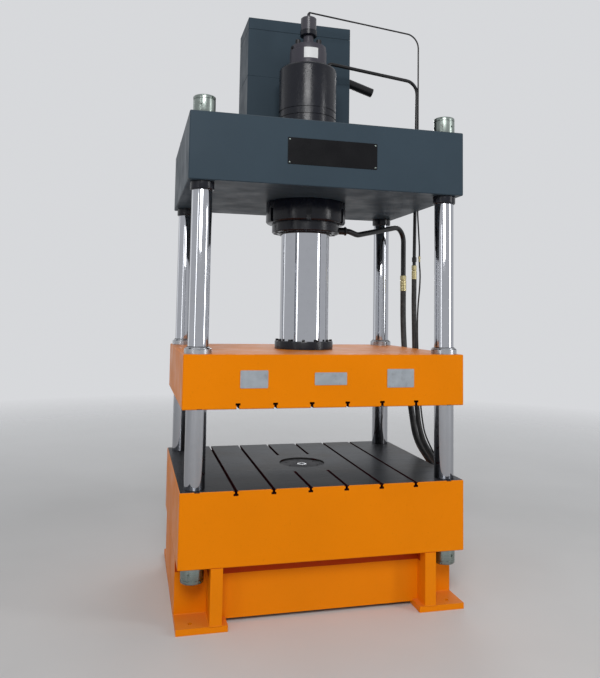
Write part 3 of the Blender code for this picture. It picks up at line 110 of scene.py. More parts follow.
class Graph:
    """A material's nodes, with short calls for what the finishes use."""

    def __init__(self, name: str, colour: Colour, roughness: float, metallic: float) -> None:
        """Start a material from plain values on its shader.

        Args:
            name: the material's name.
            colour: its linear base colour.
            roughness: its mean roughness.
            metallic: 1 for bare metal, 0 for paint and rubber.
        """
        self.material = bpy.data.materials.new(name)
        self.material.use_nodes = True
        self.nodes = self.material.node_tree.nodes
        self.links = self.material.node_tree.links
        self.shader = self.nodes["Principled BSDF"]
        self.fix("Base Color", (*colour, 1.0))
        self.fix("Roughness", roughness)
        self.fix("Metallic", metallic)
        self.material.diffuse_color = (*colour, 1.0)

    def fix(self, socket: str, value: float | tuple) -> None:
        """Set one of the shader's sockets to a plain value."""
        self.shader.inputs[socket].default_value = value

    def shade(self, socket: str, source: Socket) -> None:
        """Feed one of the shader's sockets."""
        self.links.new(source, self.shader.inputs[socket])

    def source(self, socket: str) -> Socket | None:
        """What feeds one of the shader's sockets, if anything does."""
        links = self.shader.inputs[socket].links
        return links[0].from_socket if links else None

    def dim_grazing(self, share: float) -> None:
        """Let bare metal shine less where it is seen from low down."""
        self.fix("Specular Tint", (share, share, share, 1.0))

    def feed(self, socket: Socket, value: object) -> None:
        """Link a socket to another, or set it."""
        if isinstance(value, Socket):
            self.links.new(value, socket)
        else:
            socket.default_value = value

    def place(self, stretch: Point = (1.0, 1.0, 1.0)) -> Socket:
        """The object's own coordinates, in metres, stretched along its axes."""
        coordinates = self.nodes.new("ShaderNodeTexCoord")
        mapping = self.nodes.new("ShaderNodeMapping")
        mapping.inputs["Scale"].default_value = stretch
        self.links.new(coordinates.outputs["Object"], mapping.inputs["Vector"])
        return mapping.outputs["Vector"]

    def noise(self, scale: float, detail: float = 3.0, stretch: Point = (1.0, 1.0, 1.0)) -> Socket:
        """A cloud pattern of that many cells a metre, between 0 and 1 with 0.5 as its mean."""
        node = self.nodes.new("ShaderNodeTexNoise")
        node.inputs["Scale"].default_value = scale
        node.inputs["Detail"].default_value = detail
        self.links.new(self.place(stretch), node.inputs["Vector"])
        return node.outputs["Fac"]

    def spread(self, source: Socket, low: float, high: float,
               start: float = 0.35, end: float = 0.65) -> Socket:
        """A pattern's values between start and end, carried over to low and high."""
        node = self.nodes.new("ShaderNodeMapRange")
        for name, value in (("From Min", start), ("From Max", end), ("To Min", low), ("To Max", high)):
            node.inputs[name].default_value = value
        self.links.new(source, node.inputs["Value"])
        return node.outputs["Result"]

    def cloud(self, noise: Cloud, low: float, high: float, *span: float) -> Socket:
        """A noise carried over to low and high, from its middle range or from the span that is given."""
        return self.spread(self.noise(*noise), low, high, *span)

    def mix(self, share: object, first: object, second: object) -> Socket:
        """The first colour, or where share is 1 the second."""
        node = self.nodes.new("ShaderNodeMix")
        node.data_type = "RGBA"
        for index, value in ((0, share), (6, first), (7, second)):
            self.feed(node.inputs[index], (*value, 1.0) if isinstance(value, tuple) else value)
        return node.outputs[2]

    def maths(self, operation: str, first: object, second: object = 0.0) -> Socket:
        """One sum, product or comparison."""
        node = self.nodes.new("ShaderNodeMath")
        node.operation = operation
        self.feed(node.inputs[0], first)
        self.feed(node.inputs[1], second)
        return node.outputs[0]

    def both(self, first: object, second: object) -> Socket:
        """The product of two values; of two masks, 1 where both are."""
        return self.maths("MULTIPLY", first, second)

    def along(self, axis: str) -> Socket:
        """One of the object's coordinates, X, Y or Z, measured from the press axis."""
        split = self.nodes.new("ShaderNodeSeparateXYZ")
        self.links.new(self.place(), split.inputs[0])
        return self.maths("SUBTRACT", split.outputs[axis], PRESS_AXIS["XYZ".index(axis)])

    def from_axis(self) -> Socket:
        """The level distance from the press axis."""
        x, y = self.along("X"), self.along("Y")
        return self.maths("SQRT", self.maths("ADD", self.both(x, x), self.both(y, y)))

    def within(self, source: Socket, low: float, high: float) -> Socket:
        """1 where a value lies between low and high, or else 0."""
        return self.both(self.maths("GREATER_THAN", source, low), self.maths("LESS_THAN", source, high))

    def facing_up(self) -> Socket:
        """1 on level faces that look up, falling to 0 on upright ones."""
        geometry = self.nodes.new("ShaderNodeNewGeometry")
        split = self.nodes.new("ShaderNodeSeparateXYZ")
        self.links.new(geometry.outputs["Normal"], split.inputs[0])
        return self.spread(split.outputs["Z"], 0.0, 1.0, start=0.5, end=0.95)

    def fade_out(self, start: float, end: float) -> None:
        """Let the surface turn clear between two distances from the press axis."""
        clear, choice = self.nodes.new("ShaderNodeBsdfTransparent"), self.nodes.new("ShaderNodeMixShader")
        share = self.spread(self.from_axis(), 0.0, 1.0, start, end)
        for source, socket in ((share, 0), (self.shader.outputs[0], 1), (clear.outputs[0], 2)):
            self.links.new(source, choice.inputs[socket])
        self.links.new(choice.outputs[0], self.nodes["Material Output"].inputs["Surface"])

    def bump(self, height: Socket, strength: float, distance: float) -> None:
        """Raise the surface by a pattern; bumps that are made later lie over the earlier ones."""
        node = self.nodes.new("ShaderNodeBump")
        node.inputs["Strength"].default_value = strength
        node.inputs["Distance"].default_value = distance
        self.links.new(height, node.inputs["Height"])
        under = self.source("Normal")
        if under:
            self.links.new(under, node.inputs["Normal"])
        self.shade("Normal", node.outputs["Normal"])


@dataclass(frozen=True)
class Finish:
    """A surface finish: the record's slot it belongs to and the look of its material."""

    name: str
    slot: Slot
    colour: Colour
    roughness: float
    metallic: float = 0.0

    def material(self) -> bpy.types.Material:
        """The finish's material, made once."""
        found = bpy.data.materials.get(self.name)
        if found:
            return found
        graph = Graph(self.name, self.colour, self.roughness, self.metallic)
        self.dress(graph)
        return graph.material

    def dress(self, graph: Graph) -> None:
        """Add the finish's patterns to its plain values."""

    def tinted(self, share: float) -> Colour:
        """The finish's colour, darker or lighter by a share."""
        red, green, blue = (min(1.0, part * share) for part in self.colour)
        return red, green, blue


@dataclass(frozen=True)
class Enamel(Finish):
    """Sprayed enamel with orange peel, slow changes of tone, and workshop dust on its level faces."""

    coat: float = 0.06
    coat_roughness: float = 0.08
    specular: float = 0.30
    gloss_cloud: Cloud = (7.0, 5.0)
    gloss_span: Pair = (0.3, 0.7)
    gloss_change: Pair = (-0.06, 0.12)
    peel: float = 0.10
    peel_scale: float = 240.0
    peel_depths: Pair = (0.0006, 0.002)
    patch: float = 0.10
    patch_cloud: Cloud = (2.2, 4.0)
    speck_cloud: Cloud = (90.0, 6.0)
    speck_span: Pair = (0.62, 0.75)
    speck_share: float = 0.2
    speck_tone: float = 0.6
    dust: float = 0.35
    dust_thin: float = 0.45           # the share of it that lies where it is thin
    dust_cloud: Cloud = (3.0, 9.0)
    dust_colour: Colour = (0.30, 0.28, 0.25)

    def dress(self, graph: Graph) -> None:
        """Add tone, dust, peel and uneven gloss."""
        graph.shade("Base Color", self.tone(graph))
        low, high = (self.roughness + change for change in self.gloss_change)
        graph.shade("Roughness", graph.cloud(self.gloss_cloud, low, high, *self.gloss_span))
        graph.fix("Specular IOR Level", self.specular)
        graph.fix("Coat Weight", self.coat)
        graph.fix("Coat Roughness", self.coat_roughness)
        fine, wide = self.peel_depths
        graph.bump(graph.noise(self.peel_scale, 1.0), self.peel, fine)
        graph.bump(graph.noise(self.peel_scale / 6, 1.0), self.peel / 2, wide)

    def tone(self, graph: Graph) -> Socket:
        """The paint's colour with its slow changes, grime and dust."""
        slow = graph.cloud(self.patch_cloud, 0.0, 1.0)
        colour = graph.mix(slow, self.tinted(1 - self.patch), self.tinted(1 + self.patch))
        specks = graph.cloud(self.speck_cloud, 0.0, self.speck_share, *self.speck_span)
        colour = graph.mix(specks, colour, self.tinted(self.speck_tone))
        thin = graph.cloud(self.dust_cloud, self.dust_thin * self.dust, self.dust)
        return graph.mix(graph.both(graph.facing_up(), thin), colour, self.dust_colour)


@dataclass(frozen=True)
class TableEnamel(Enamel):
    """A beam's enamel that leaves one level face ground bright, with red primer inside its T-slots."""

    face: float = 0.0                 # the height of the ground face
    inward: int = 1                   # 1 where the beam lies above it, -1 where it lies below
    slot_depth: float = 0.03
    slot_pitch: float = 0.190
    slot_half: float = 0.0130
    below_slots: float = 0.001
    recess_r: float = 0.0
    skin: float = 0.0008
    steel: Colour = (0.12, 0.124, 0.132)
    steel_low: float = 0.86
    line_stretch: Point = (4.0, 420.0, 4.0)
    line_strength: float = 0.03
    line_gloss: Pair = (0.27, 0.34)
    stain: Colour = (0.075, 0.070, 0.066)
    stain_cloud: Cloud = (5.0, 6.0)
    stain_span: Pair = (0.45, 0.72)
    stain_share: float = 0.7
    stained_metal: float = 0.75
    primer: Colour = (0.040, 0.006, 0.008)
    primer_roughness: Colour = (0.8, 0.8, 0.8)
    oiled: Colour = (0.060, 0.058, 0.056)
    graze: float = 0.5

    def dress(self, graph: Graph) -> None:
        """Add the enamel, then the ground face and the primed slots over it."""
        super().dress(graph)
        paint, gloss = graph.source("Base Color"), graph.source("Roughness")
        height, half = graph.along("Z"), self.skin / 2
        depths = half, self.slot_depth + self.below_slots
        sunk = graph.within(height, *sorted(self.face + self.inward * depth for depth in depths))
        slots = graph.both(sunk, self.over_slots(graph))
        recess = graph.both(sunk, graph.maths("LESS_THAN", graph.from_axis(), self.recess_r))
        face = graph.within(height, self.face - half, self.face + half)
        lines, blots = graph.noise(1.0, 4.0, self.line_stretch), graph.noise(*self.stain_cloud)
        dark = tuple(self.steel_low * part for part in self.steel)
        ground = graph.mix(graph.spread(lines, 0.0, 1.0), dark, self.steel)
        stained = graph.spread(blots, 0.0, self.stain_share, *self.stain_span)
        ground = graph.mix(stained, ground, self.stain)
        paint = graph.mix(slots, graph.mix(recess, paint, self.oiled), self.primer)
        graph.shade("Base Color", graph.mix(face, paint, ground))
        metal = graph.spread(blots, 1.0, self.stained_metal, *self.stain_span)
        graph.shade("Metallic", graph.both(face, metal))
        graph.dim_grazing(self.graze)
        gloss = graph.mix(slots, gloss, self.primer_roughness)
        graph.shade("Roughness", graph.mix(face, gloss, graph.spread(lines, *self.line_gloss)))
        painted = graph.maths("SUBTRACT", 1.0, graph.maths("MAXIMUM", face, slots))
        graph.shade("Coat Weight", graph.both(painted, self.coat))
        graph.bump(graph.both(lines, face), self.line_strength, LINE_DEPTH)

    def over_slots(self, graph: Graph) -> Socket:
        """1 above or below a T-slot, or else 0; whole pitches are added so that no place is negative."""
        shifted = graph.maths("ADD", graph.along("X"), 10 * self.slot_pitch)
        across = graph.maths("MODULO", shifted, self.slot_pitch)
        across = graph.maths("ABSOLUTE", graph.maths("SUBTRACT", across, self.slot_pitch / 2))
        lengthwise = graph.within(graph.along("Y"), GAP - HALF_DEPTH, HALF_DEPTH - GAP)
        return graph.both(graph.maths("LESS_THAN", across, self.slot_half), lengthwise)


@dataclass(frozen=True)
class BaseEnamel(Enamel):
    """The base frame's enamel, which stops short of the bed on its set-back faces and shows primer there."""

    band: float = 0.063
    ragged: float = 0.0006
    ragged_cloud: Cloud = (6.0, 2.0)
    reach_y: float = 0.50             # the primed faces lie within this distance of the middle
    reach_x: float = HALF_WIDTH - 0.001
    primer: Colour = (0.44, 0.044, 0.002)

    def tone(self, graph: Graph) -> Socket:
        """The enamel's colour, with the primed band under the bed."""
        ragged = graph.cloud(self.ragged_cloud, -self.ragged, self.ragged)
        height = graph.maths("ADD", graph.along("Z"), ragged)
        band = graph.maths("GREATER_THAN", height, BASE_TOP - self.band)
        for axis, reach in (("Y", self.reach_y), ("X", self.reach_x)):
            band = graph.both(band, graph.within(graph.along(axis), -reach, reach))
        return graph.mix(band, super().tone(graph), self.primer)


@dataclass(frozen=True)
class Plated(Finish):
    """Plated or ground bare metal, with turning or grinding lines and clouds of uneven shine."""

    metallic: float = 1.0
    lines: Point = (1.0, 1.0, 300.0)
    line_strength: float = 0.03
    mottle: float = 0.06
    mottle_cloud: Cloud = (25.0, 4.0)
    cloud: float = 0.05
    shine_cloud: Cloud = (9.0, 5.0)
    stain: float = 0.10
    stain_cloud: Cloud = (38.0, 7.0)
    stain_span: Pair = (0.60, 0.72)
    stain_colour: Colour = (0.10, 0.09, 0.08)
    graze: float = 1.0

    def dress(self, graph: Graph) -> None:
        """Add the lines, the clouds and a few stains."""
        graph.dim_grazing(self.graze)
        lines = graph.noise(1.0, 3.0, self.lines)
        shine = graph.spread(lines, -self.cloud / 2, self.cloud / 2)
        clouds = graph.cloud(self.shine_cloud, self.roughness - self.cloud, self.roughness + self.cloud)
        graph.shade("Roughness", graph.maths("ADD", clouds, shine))
        mottle = graph.cloud(self.mottle_cloud, 0.0, 1.0)
        tone = graph.mix(mottle, self.tinted(1 - self.mottle), self.tinted(1 + self.mottle))
        marks = graph.cloud(self.stain_cloud, 0.0, self.stain, *self.stain_span)
        graph.shade("Base Color", graph.mix(marks, tone, self.stain_colour))
        if self.line_strength:
            graph.bump(lines, self.line_strength, LINE_DEPTH)


@dataclass(frozen=True)
class Rubber(Finish):
    """Wrapped hose cover: matt black with a fine cloth mark and grey rubbed dust."""

    dust: Colour = (0.075, 0.072, 0.068)
    dust_cloud: Cloud = (28.0, 5.0)
    dust_span: Pair = (0.48, 0.72)
    dust_share: float = 0.35
    gloss_cloud: Cloud = (60.0, 3.0)
    gloss_change: Pair = (-0.10, 0.12)
    grain_cloud: Cloud = (700.0, 2.0)
    grain_bump: Pair = (0.25, 0.0004)     # strength and depth
    wrap: Point = (30.0, 30.0, 330.0)
    wrap_bump: Pair = (0.12, 0.0006)

    def dress(self, graph: Graph) -> None:
        """Add the cloth mark and the dust."""
        rubbed = graph.cloud(self.dust_cloud, 0.0, self.dust_share, *self.dust_span)
        graph.shade("Base Color", graph.mix(rubbed, self.colour, self.dust))
        low, high = (self.roughness + change for change in self.gloss_change)
        graph.shade("Roughness", graph.cloud(self.gloss_cloud, low, high))
        graph.bump(graph.noise(*self.grain_cloud), *self.grain_bump)
        graph.bump(graph.noise(1.0, 2.0, self.wrap), *self.wrap_bump)


ORANGE = {"slot": Slot.ORANGE, "colour": (0.78, 0.215, 0.002), "specular": 0.07, "coat": 0.01, "patch": 0.03}
BED_ORANGE = TableEnamel("bed_enamel", **ORANGE, roughness=0.34, dust=0.10, face=BED_TOP, inward=-1,
                         slot_depth=0.025, recess_r=0.134)
SLIDE_ORANGE = TableEnamel("slide_enamel", **ORANGE, roughness=0.34, dust=0.10, face=SLIDE_BOTTOM, inward=1,
                           slot_depth=0.030)
BASE_ORANGE = BaseEnamel("base_enamel", **ORANGE, roughness=0.36, dust=0.12)
GREY = Enamel("blue_grey_enamel", Slot.GREY, (0.039, 0.058, 0.075), 0.38, specular=0.05, coat=0.01,
              patch=0.05, dust=0.16)
BLACK = Enamel("black_enamel", Slot.BLACK, (0.006, 0.007, 0.012), 0.22, coat=0.06, specular=0.26, peel=0.55,
               peel_scale=330.0, dust=0.04)
PIPE_BLACK = Enamel("pipe_enamel", Slot.BLACK, (0.007, 0.007, 0.008), 0.30, peel=0.08, peel_scale=300.0,
                    dust=0.06)
NAME_BLACK = Enamel("nameplate_lacquer", Slot.BLACK, (0.004, 0.004, 0.005), 0.25, coat=0.0, specular=0.15,
                    peel=0.02, dust=0.0)
VALVE = Enamel("valve_enamel", Slot.VALVE, (0.040, 0.038, 0.050), 0.42, coat=0.05, peel=0.45,
               peel_scale=160.0, dust=0.15)
PILOT = Enamel("pilot_enamel", Slot.VALVE, (0.045, 0.043, 0.054), 0.24, coat=0.10, specular=0.40, peel=0.10,
               peel_scale=200.0, dust=0.10)
WHITE_PLATE = Enamel("plate_white", Slot.LABEL, (0.66, 0.67, 0.67), 0.40, peel=0.02, patch=0.03, dust=0.1)
CHROME = Plated("hard_chrome_ground", Slot.CHROME, (0.46, 0.47, 0.50), 0.065, lines=(1.0, 1.0, 90.0),
                line_strength=0.0, mottle=0.012, cloud=0.012, stain=0.04)
ROD_CHROME = Plated("hard_chrome_worn", Slot.CHROME, (0.66, 0.67, 0.69), 0.34, lines=(1.0, 1.0, 700.0),
                    line_strength=0.02, cloud=0.05, stain=0.2)
ZINC = Plated("zinc_passivated", Slot.ZINC, (0.24, 0.275, 0.255), 0.30, lines=(1.0, 1.0, 700.0),
              line_strength=0.08, cloud=0.08, stain=0.4)
STEEL = Plated("turned_steel", Slot.STEEL, (0.40, 0.41, 0.43), 0.28, lines=(1.0, 1.0, 500.0),
               line_strength=0.06, cloud=0.08, stain=0.3)
OILED_STEEL = Plated("oiled_steel", Slot.STEEL, (0.105, 0.105, 0.11), 0.36, lines=(1.0, 420.0, 1.0),
                     line_strength=0.06, cloud=0.08, stain=0.7, graze=0.4)
SCREW_BLACK = Plated("screw_blackened", Slot.BLACK, (0.030, 0.030, 0.032), 0.42, lines=(200.0, 200.0, 200.0),
                     line_strength=0.04, stain=0.2)
YELLOW = Plated("zinc_yellow", Slot.YELLOW, (0.46, 0.40, 0.22), 0.36, lines=(1.0, 1.0, 800.0),
                line_strength=0.08, cloud=0.08, stain=0.3)
LABEL = Plated("label_foil", Slot.LABEL, (0.38, 0.41, 0.44), 0.42, lines=(300.0, 1.0, 4.0),
               line_strength=0.02, stain=0.2)
RUBBER = Rubber("hose_cover", Slot.RUBBER, (0.010, 0.010, 0.011), 0.58)


def disc_outline(radius: float, low: float, high: float, inner: float = 0.0, below: float = 0.0,
                 above: float = 0.0) -> Outline:
    """The outline of a disc or a ring for add_turned.

    Args:
        radius: its outer radius.
        low: where it starts.
        high: where it ends.
        inner: the radius of its bore, if it has one.
        below: the chamfer of its lower outer edge.
        above: the chamfer of its upper outer edge.

    Returns:
        The outline's points.
    """
    start = [(radius - below, low), (radius, low + below)] if below else [(radius, low)]
    end = [(radius, high - above), (radius - above, high)] if above else [(radius, high)]
    return [(inner, low), *start, *end, (inner, high)]


def wiper_outline(inner: float, outer: float, face: float, way: int, edge: float = 0.001) -> Outline:
    """The outline of a wiper ring that narrows away from the face that it lies on."""
    rise = way * edge
    return [(inner, face), (outer, face), (outer - edge, face + 2 * rise), (inner, face + 3 * rise)]


def verts_in(geometry: list) -> Verts:
    """The vertices among what a bmesh operator returns."""
    return [g for g in geometry if isinstance(g, bmesh.types.BMVert)]


def edges_in(geometry: list) -> list[bmesh.types.BMEdge]:
    """The edges among what a bmesh operator returns."""
    return [g for g in geometry if isinstance(g, bmesh.types.BMEdge)]


def gained(bm: Mesh, before: set[bmesh.types.BMVert]) -> Verts:
    """The vertices that a mesh has now and had not before."""
    return [v for v in bm.verts if v not in before]


def add_turned(bm: Mesh, outline: Outline, sides: int, at: Point = (0, 0, 0), axis: str = "Z") -> Verts:
    """Turn an outline of (radius, height) points round an axis.

    Args:
        bm: the mesh that takes the shape.
        outline: the points; an outline that starts off the axis is a closed ring.
        sides: steps in the full turn.
        at: where the outline's own zero goes.
        axis: the direction that the heights run along, X, Y or Z.

    Returns:
        The new vertices.
    """
    before = set(bm.verts)
    verts = [bm.verts.new((radius, 0, height)) for radius, height in outline]
    edges = [bm.edges.new(pair) for pair in zip(verts, verts[1:])]
    if outline[0][0] > 0:
        edges.append(bm.edges.new((verts[-1], verts[0])))
    bmesh.ops.spin(bm, geom=verts + edges, cent=(0, 0, 0), axis=UP, angle=FULL_TURN, steps=sides,
                   use_merge=True)
    bmesh.ops.remove_doubles(bm, verts=gained(bm, before), dist=MERGE)
    fresh = gained(bm, before)
    turns = {"X": Matrix.Rotation(math.pi / 2, 4, "Y"), "Y": Matrix.Rotation(-math.pi / 2, 4, "X")}
    if axis in turns:
        bmesh.ops.transform(bm, matrix=turns[axis], verts=fresh)
    bmesh.ops.translate(bm, vec=at, verts=fresh)
    return fresh


def soften(bm: Mesh, width: float, segments: int = 2) -> None:
    """Round every edge that is sharper than SHARP.

    Args:
        bm: the mesh.
        width: the round's size.
        segments: its steps.
    """
    bmesh.ops.recalc_face_normals(bm, faces=bm.faces[:])
    edges = [e for e in bm.edges if e.is_manifold and e.calc_face_angle(0.0) > SHARP]
    bmesh.ops.bevel(bm, geom=edges, offset=width, offset_type="OFFSET", segments=segments, profile=0.5,
                    affect="EDGES", material=-1, clamp_overlap=True)


def add_block(bm: Mesh, low: Point, high: Point) -> Verts:
    """A box between two corners."""
    low, high = Vector(low), Vector(high)
    verts = bmesh.ops.create_cube(bm, size=1.0)["verts"]
    bmesh.ops.scale(bm, vec=high - low, verts=verts)
    bmesh.ops.translate(bm, vec=(low + high) / 2, verts=verts)
    return verts


def clip(bm: Mesh, place: Point, way: Point) -> None:
    """Cut a mesh along a plane, keep the side that the plane looks to, and close it."""
    section = bmesh.ops.bisect_plane(
        bm, geom=bm.verts[:] + bm.edges[:] + bm.faces[:], dist=MERGE, plane_co=place, plane_no=way,
        clear_inner=True,
    )["geom_cut"]
    bmesh.ops.edgenet_fill(bm, edges=edges_in(section))


def show(name: str, data: bpy.types.ID) -> bpy.types.Object:
    """An object in the scene that shows some data."""
    shown = bpy.data.objects.new(name, data)
    bpy.context.scene.collection.objects.link(shown)
    return shown


def to_mesh(name: str, bm: Mesh) -> bpy.types.Mesh:
    """A bmesh as a mesh; the bmesh is freed."""
    mesh = bpy.data.meshes.new(name)
    bm.to_mesh(mesh)
    bm.free()
    return mesh


def on_axis(name: str, bm: Mesh) -> bpy.types.Mesh:
    """A bmesh as a mesh that is moved onto the press axis, its faces looking outwards."""
    bmesh.ops.recalc_face_normals(bm, faces=bm.faces[:])
    bmesh.ops.translate(bm, vec=PRESS_AXIS, verts=bm.verts[:])
    return to_mesh(name, bm)


def finish_object(name: str, data: bpy.types.ID, finish: Finish, replaces: tuple[str, ...] = (),
                  body: Body = Body.FRAME) -> bpy.types.Object:
    """Show a mesh or a curve as a piece, dressed and riding on its body."""
    data.materials.append(finish.material())
    piece = show(name, data)
    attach(piece, body.value)
    if replaces:
        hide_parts(*replaces)
    log.info("piece %s", name)
    return piece


def finish_mesh(name: str, bm: Mesh, finish: Finish, replaces: tuple[str, ...] = (),
                body: Body = Body.FRAME) -> bpy.types.Object:
    """Make a piece of a bmesh: moved onto the press axis, dressed and riding on its body.

    Args:
        name: the piece's name.
        bm: its shape, measured from the press axis; it is freed.
        finish: its surface.
        replaces: the solids that it stands for.
        body: what it moves with.

    Returns:
        The piece.
    """
    mesh = on_axis(name, bm)
    mesh.shade_smooth()
    mesh.set_sharp_from_angle(angle=SHARP)
    return finish_object(name, mesh, finish, replaces, body)


def turned_piece(name: str, outline: Outline, sides: int, finish: Finish, replaces: tuple[str, ...] = (),
                 body: Body = Body.FRAME, at: Point = (0, 0, 0), axis: str = "Z",
                 soft: tuple[float, int] | None = None) -> bpy.types.Object:
    """Turn an outline into a piece.

    Args:
        name: the piece's name.
        outline: its points, as for add_turned.
        sides: steps in the full turn.
        finish: its surface.
        replaces: the solids that it stands for.
        body: what it moves with.
        at: where the outline's own zero goes.
        axis: the direction that the heights run along.
        soft: the width and the steps of the rounds on its sharp edges, if it has them.

    Returns:
        The piece.
    """
    bm = bmesh.new()
    add_turned(bm, outline, sides, at, axis)
    if soft:
        soften(bm, *soft)
    return finish_mesh(name, bm, finish, replaces, body)


def cut(piece: bpy.types.Object, bm: Mesh) -> None:
    """Cut a bmesh's shapes out of a piece, for good.

    Args:
        piece: the piece that loses them.
        bm: closed shapes measured from the press axis; it is freed.
    """
    mesh = on_axis("cutter", bm)
    cutter = show("cutter", mesh)
    modifier = piece.modifiers.new("cut", "BOOLEAN")
    modifier.operation, modifier.solver, modifier.object = "DIFFERENCE", "EXACT", cutter
    bpy.context.view_layer.update()
    graph = bpy.context.evaluated_depsgraph_get()
    result = bpy.data.meshes.new_from_object(piece.evaluated_get(graph))
    piece.modifiers.clear()
    old, piece.data = piece.data, result
    result.set_sharp_from_angle(angle=SHARP)
    bpy.data.meshes.remove(old)
    bpy.data.objects.remove(cutter)
    bpy.data.meshes.remove(mesh)


def tube_piece(name: str, path: Path, radius: float, finish: Finish, replaces: tuple[str, ...] = (),
               resolution: int = 6, closed: bool = False) -> bpy.types.Object:
    """A round bar along a path, fixed to the frame.

    Args:
        name: the piece's name.
        path: its points, measured from the press axis.
        radius: the bar's radius.
        finish: its surface.
        replaces: the solids that it stands for.
        resolution: how finely it is rounded.
        closed: whether its end meets its start.

    Returns:
        The piece.
    """
    curve = bpy.data.curves.new(name, "CURVE")
    curve.dimensions = "3D"
    curve.bevel_depth = radius
    curve.bevel_resolution = resolution
    curve.use_fill_caps = not closed
    spline = curve.splines.new("POLY")
    spline.points.add(len(path) - 1)
    for point, place in zip(spline.points, path):
        point.co = (*(Vector(place) + PRESS_AXIS), 1.0)
    spline.use_cyclic_u = closed
    spline.use_smooth = True
    return finish_object(name, curve, finish, replaces)


def bent_path(corners: list[Point], bends: tuple[float, ...], steps: int = 14) -> list[Vector]:
    """Points along straight runs between corners, each rounded to its bend's radius."""
    places = [Vector(c) for c in corners]
    path = [places[0]]
    for before, corner, after, radius in zip(places, places[1:], places[2:], bends):
        back, ahead = (before - corner).normalized(), (after - corner).normalized()
        half = back.angle(ahead) / 2
        reach = radius / math.tan(half)
        centre = corner + (back + ahead).normalized() * radius / math.sin(half)
        start, end = corner + back * reach - centre, corner + ahead * reach - centre
        path += [centre + start.slerp(end, i / steps).normalized() * radius for i in range(steps + 1)]
    return path + [places[-1]]


def smooth_path(route: list[Point], count: int, lead: float) -> list[Vector]:
    """Points along one smooth curve through a route, its ends straight over a short lead.

    Args:
        route: the points that the curve passes through.
        count: how many points are returned between the leads.
        lead: the length of the straight ends.

    Returns:
        The points, evenly spaced but for the leads.
    """
    places = [Vector(p) for p in route]
    leave = places[0] + (places[1] - places[0]).normalized() * lead
    arrive = places[-1] - (places[-1] - places[-2]).normalized() * lead
    places = [2 * places[0] - places[1]] + places + [2 * places[-1] - places[-2]]
    fine = []
    for a, b, c, d in zip(places, places[1:], places[2:], places[3:]):
        for i in range(count):
            t = i / count
            fine.append(0.5 * (
                2 * b + (c - a) * t + (2 * a - 5 * b + 4 * c - d) * t**2 + (3 * b - a - 3 * c + d) * t**3
            ))
    fine.append(places[-2])
    lengths = [0.0]
    for p, q in zip(fine, fine[1:]):
        lengths.append(lengths[-1] + (q - p).length)
    path, k = [], 0
    for i in range(count + 1):
        want = lengths[-1] * i / count
        while k < len(lengths) - 2 and lengths[k + 1] < want:
            k += 1
        path.append(fine[k].lerp(fine[k + 1], (want - lengths[k]) / (lengths[k + 1] - lengths[k])))
    return [path[0], leave, *path[1:-1], arrive, path[-1]]


@dataclass(frozen=True)
class SocketScrew:
    """A socket head cap screw, of which only the head shows."""

    radius: float
    height: float
    socket_width: float = 0.52        # a share of the radius
    floor_height: float = 0.45        # a share of the height
    edge_width: float = 0.10          # a share of the radius
    spin: float = 0.7                 # from each screw of a row to the next

    def mesh(self) -> Mesh:
        """The head, standing on z = 0, with its hexagon socket."""
        bm = bmesh.new()
        r, h = self.radius, self.height
        socket, floor, edge = self.socket_width * r, self.floor_height * h, self.edge_width * r
        bmesh.ops.create_circle(bm, cap_ends=False, radius=socket, segments=HEX_SIDES)
        bmesh.ops.translate(bm, vec=(0, 0, h), verts=bm.verts[:])
        rim = bm.edges[:]
        inner = bmesh.ops.extrude_edge_only(bm, edges=rim)["geom"]
        bmesh.ops.translate(bm, vec=(0, 0, floor - h), verts=verts_in(inner))
        bmesh.ops.contextual_create(bm, geom=edges_in(inner))
        circle = bmesh.ops.create_circle(bm, cap_ends=False, radius=r - edge, segments=4 * HEX_SIDES)
        ring = circle["verts"]
        bmesh.ops.translate(bm, vec=(0, 0, h), verts=ring)
        outer = list({e for v in ring for e in v.link_edges})
        bmesh.ops.bridge_loops(bm, edges=rim + outer)
        for width, drop in ((edge, edge), (0.0, h - edge)):
            grown = bmesh.ops.extrude_edge_only(bm, edges=outer)["geom"]
            verts = verts_in(grown)
            reach = verts[0].co.xy.length
            bmesh.ops.scale(bm, vec=(1 + width / reach, 1 + width / reach, 1), verts=verts)
            bmesh.ops.translate(bm, vec=(0, 0, -drop), verts=verts)
            outer = edges_in(grown)
        bmesh.ops.contextual_create(bm, geom=outer)
        return bm

    def build(self, name: str, seats: list[Seat], body: Body = Body.FRAME) -> None:
        """Several of these screws as one piece."""
        template = to_mesh("screw", self.mesh())
        bm = bmesh.new()
        for count, (place, way) in enumerate(seats):
            before = set(bm.verts)
            bm.from_mesh(template)
            turn = Vector(way).to_track_quat("Z", "X").to_matrix().to_4x4()
            spun = Matrix.Rotation(self.spin * count, 4, "Z")
            bmesh.ops.transform(bm, matrix=Matrix.Translation(place) @ turn @ spun, verts=gained(bm, before))
        bpy.data.meshes.remove(template)
        finish_mesh(name, bm, SCREW_BLACK, body=body)


def ring_of(count: int, radius: float, z: float, way: Point = UP, start: float = 0.0,
            centre: Pair = (0.0, 0.0)) -> list[Seat]:
    """Screw seats on a circle, round the press axis unless another centre is given."""
    turns = [start + FULL_TURN * i / count for i in range(count)]
    x, y = centre
    return [((x + radius * math.cos(t), y + radius * math.sin(t), z), way) for t in turns]


def add_sinks(bm: Mesh, seats: list[Seat], radius: float, low: float, high: float) -> None:
    """Add a cutter for the sink of each upright screw."""
    for (x, y, _), _ in seats:
        add_turned(bm, disc_outline(radius, low, high), HOLE_SIDES, (x, y, 0))


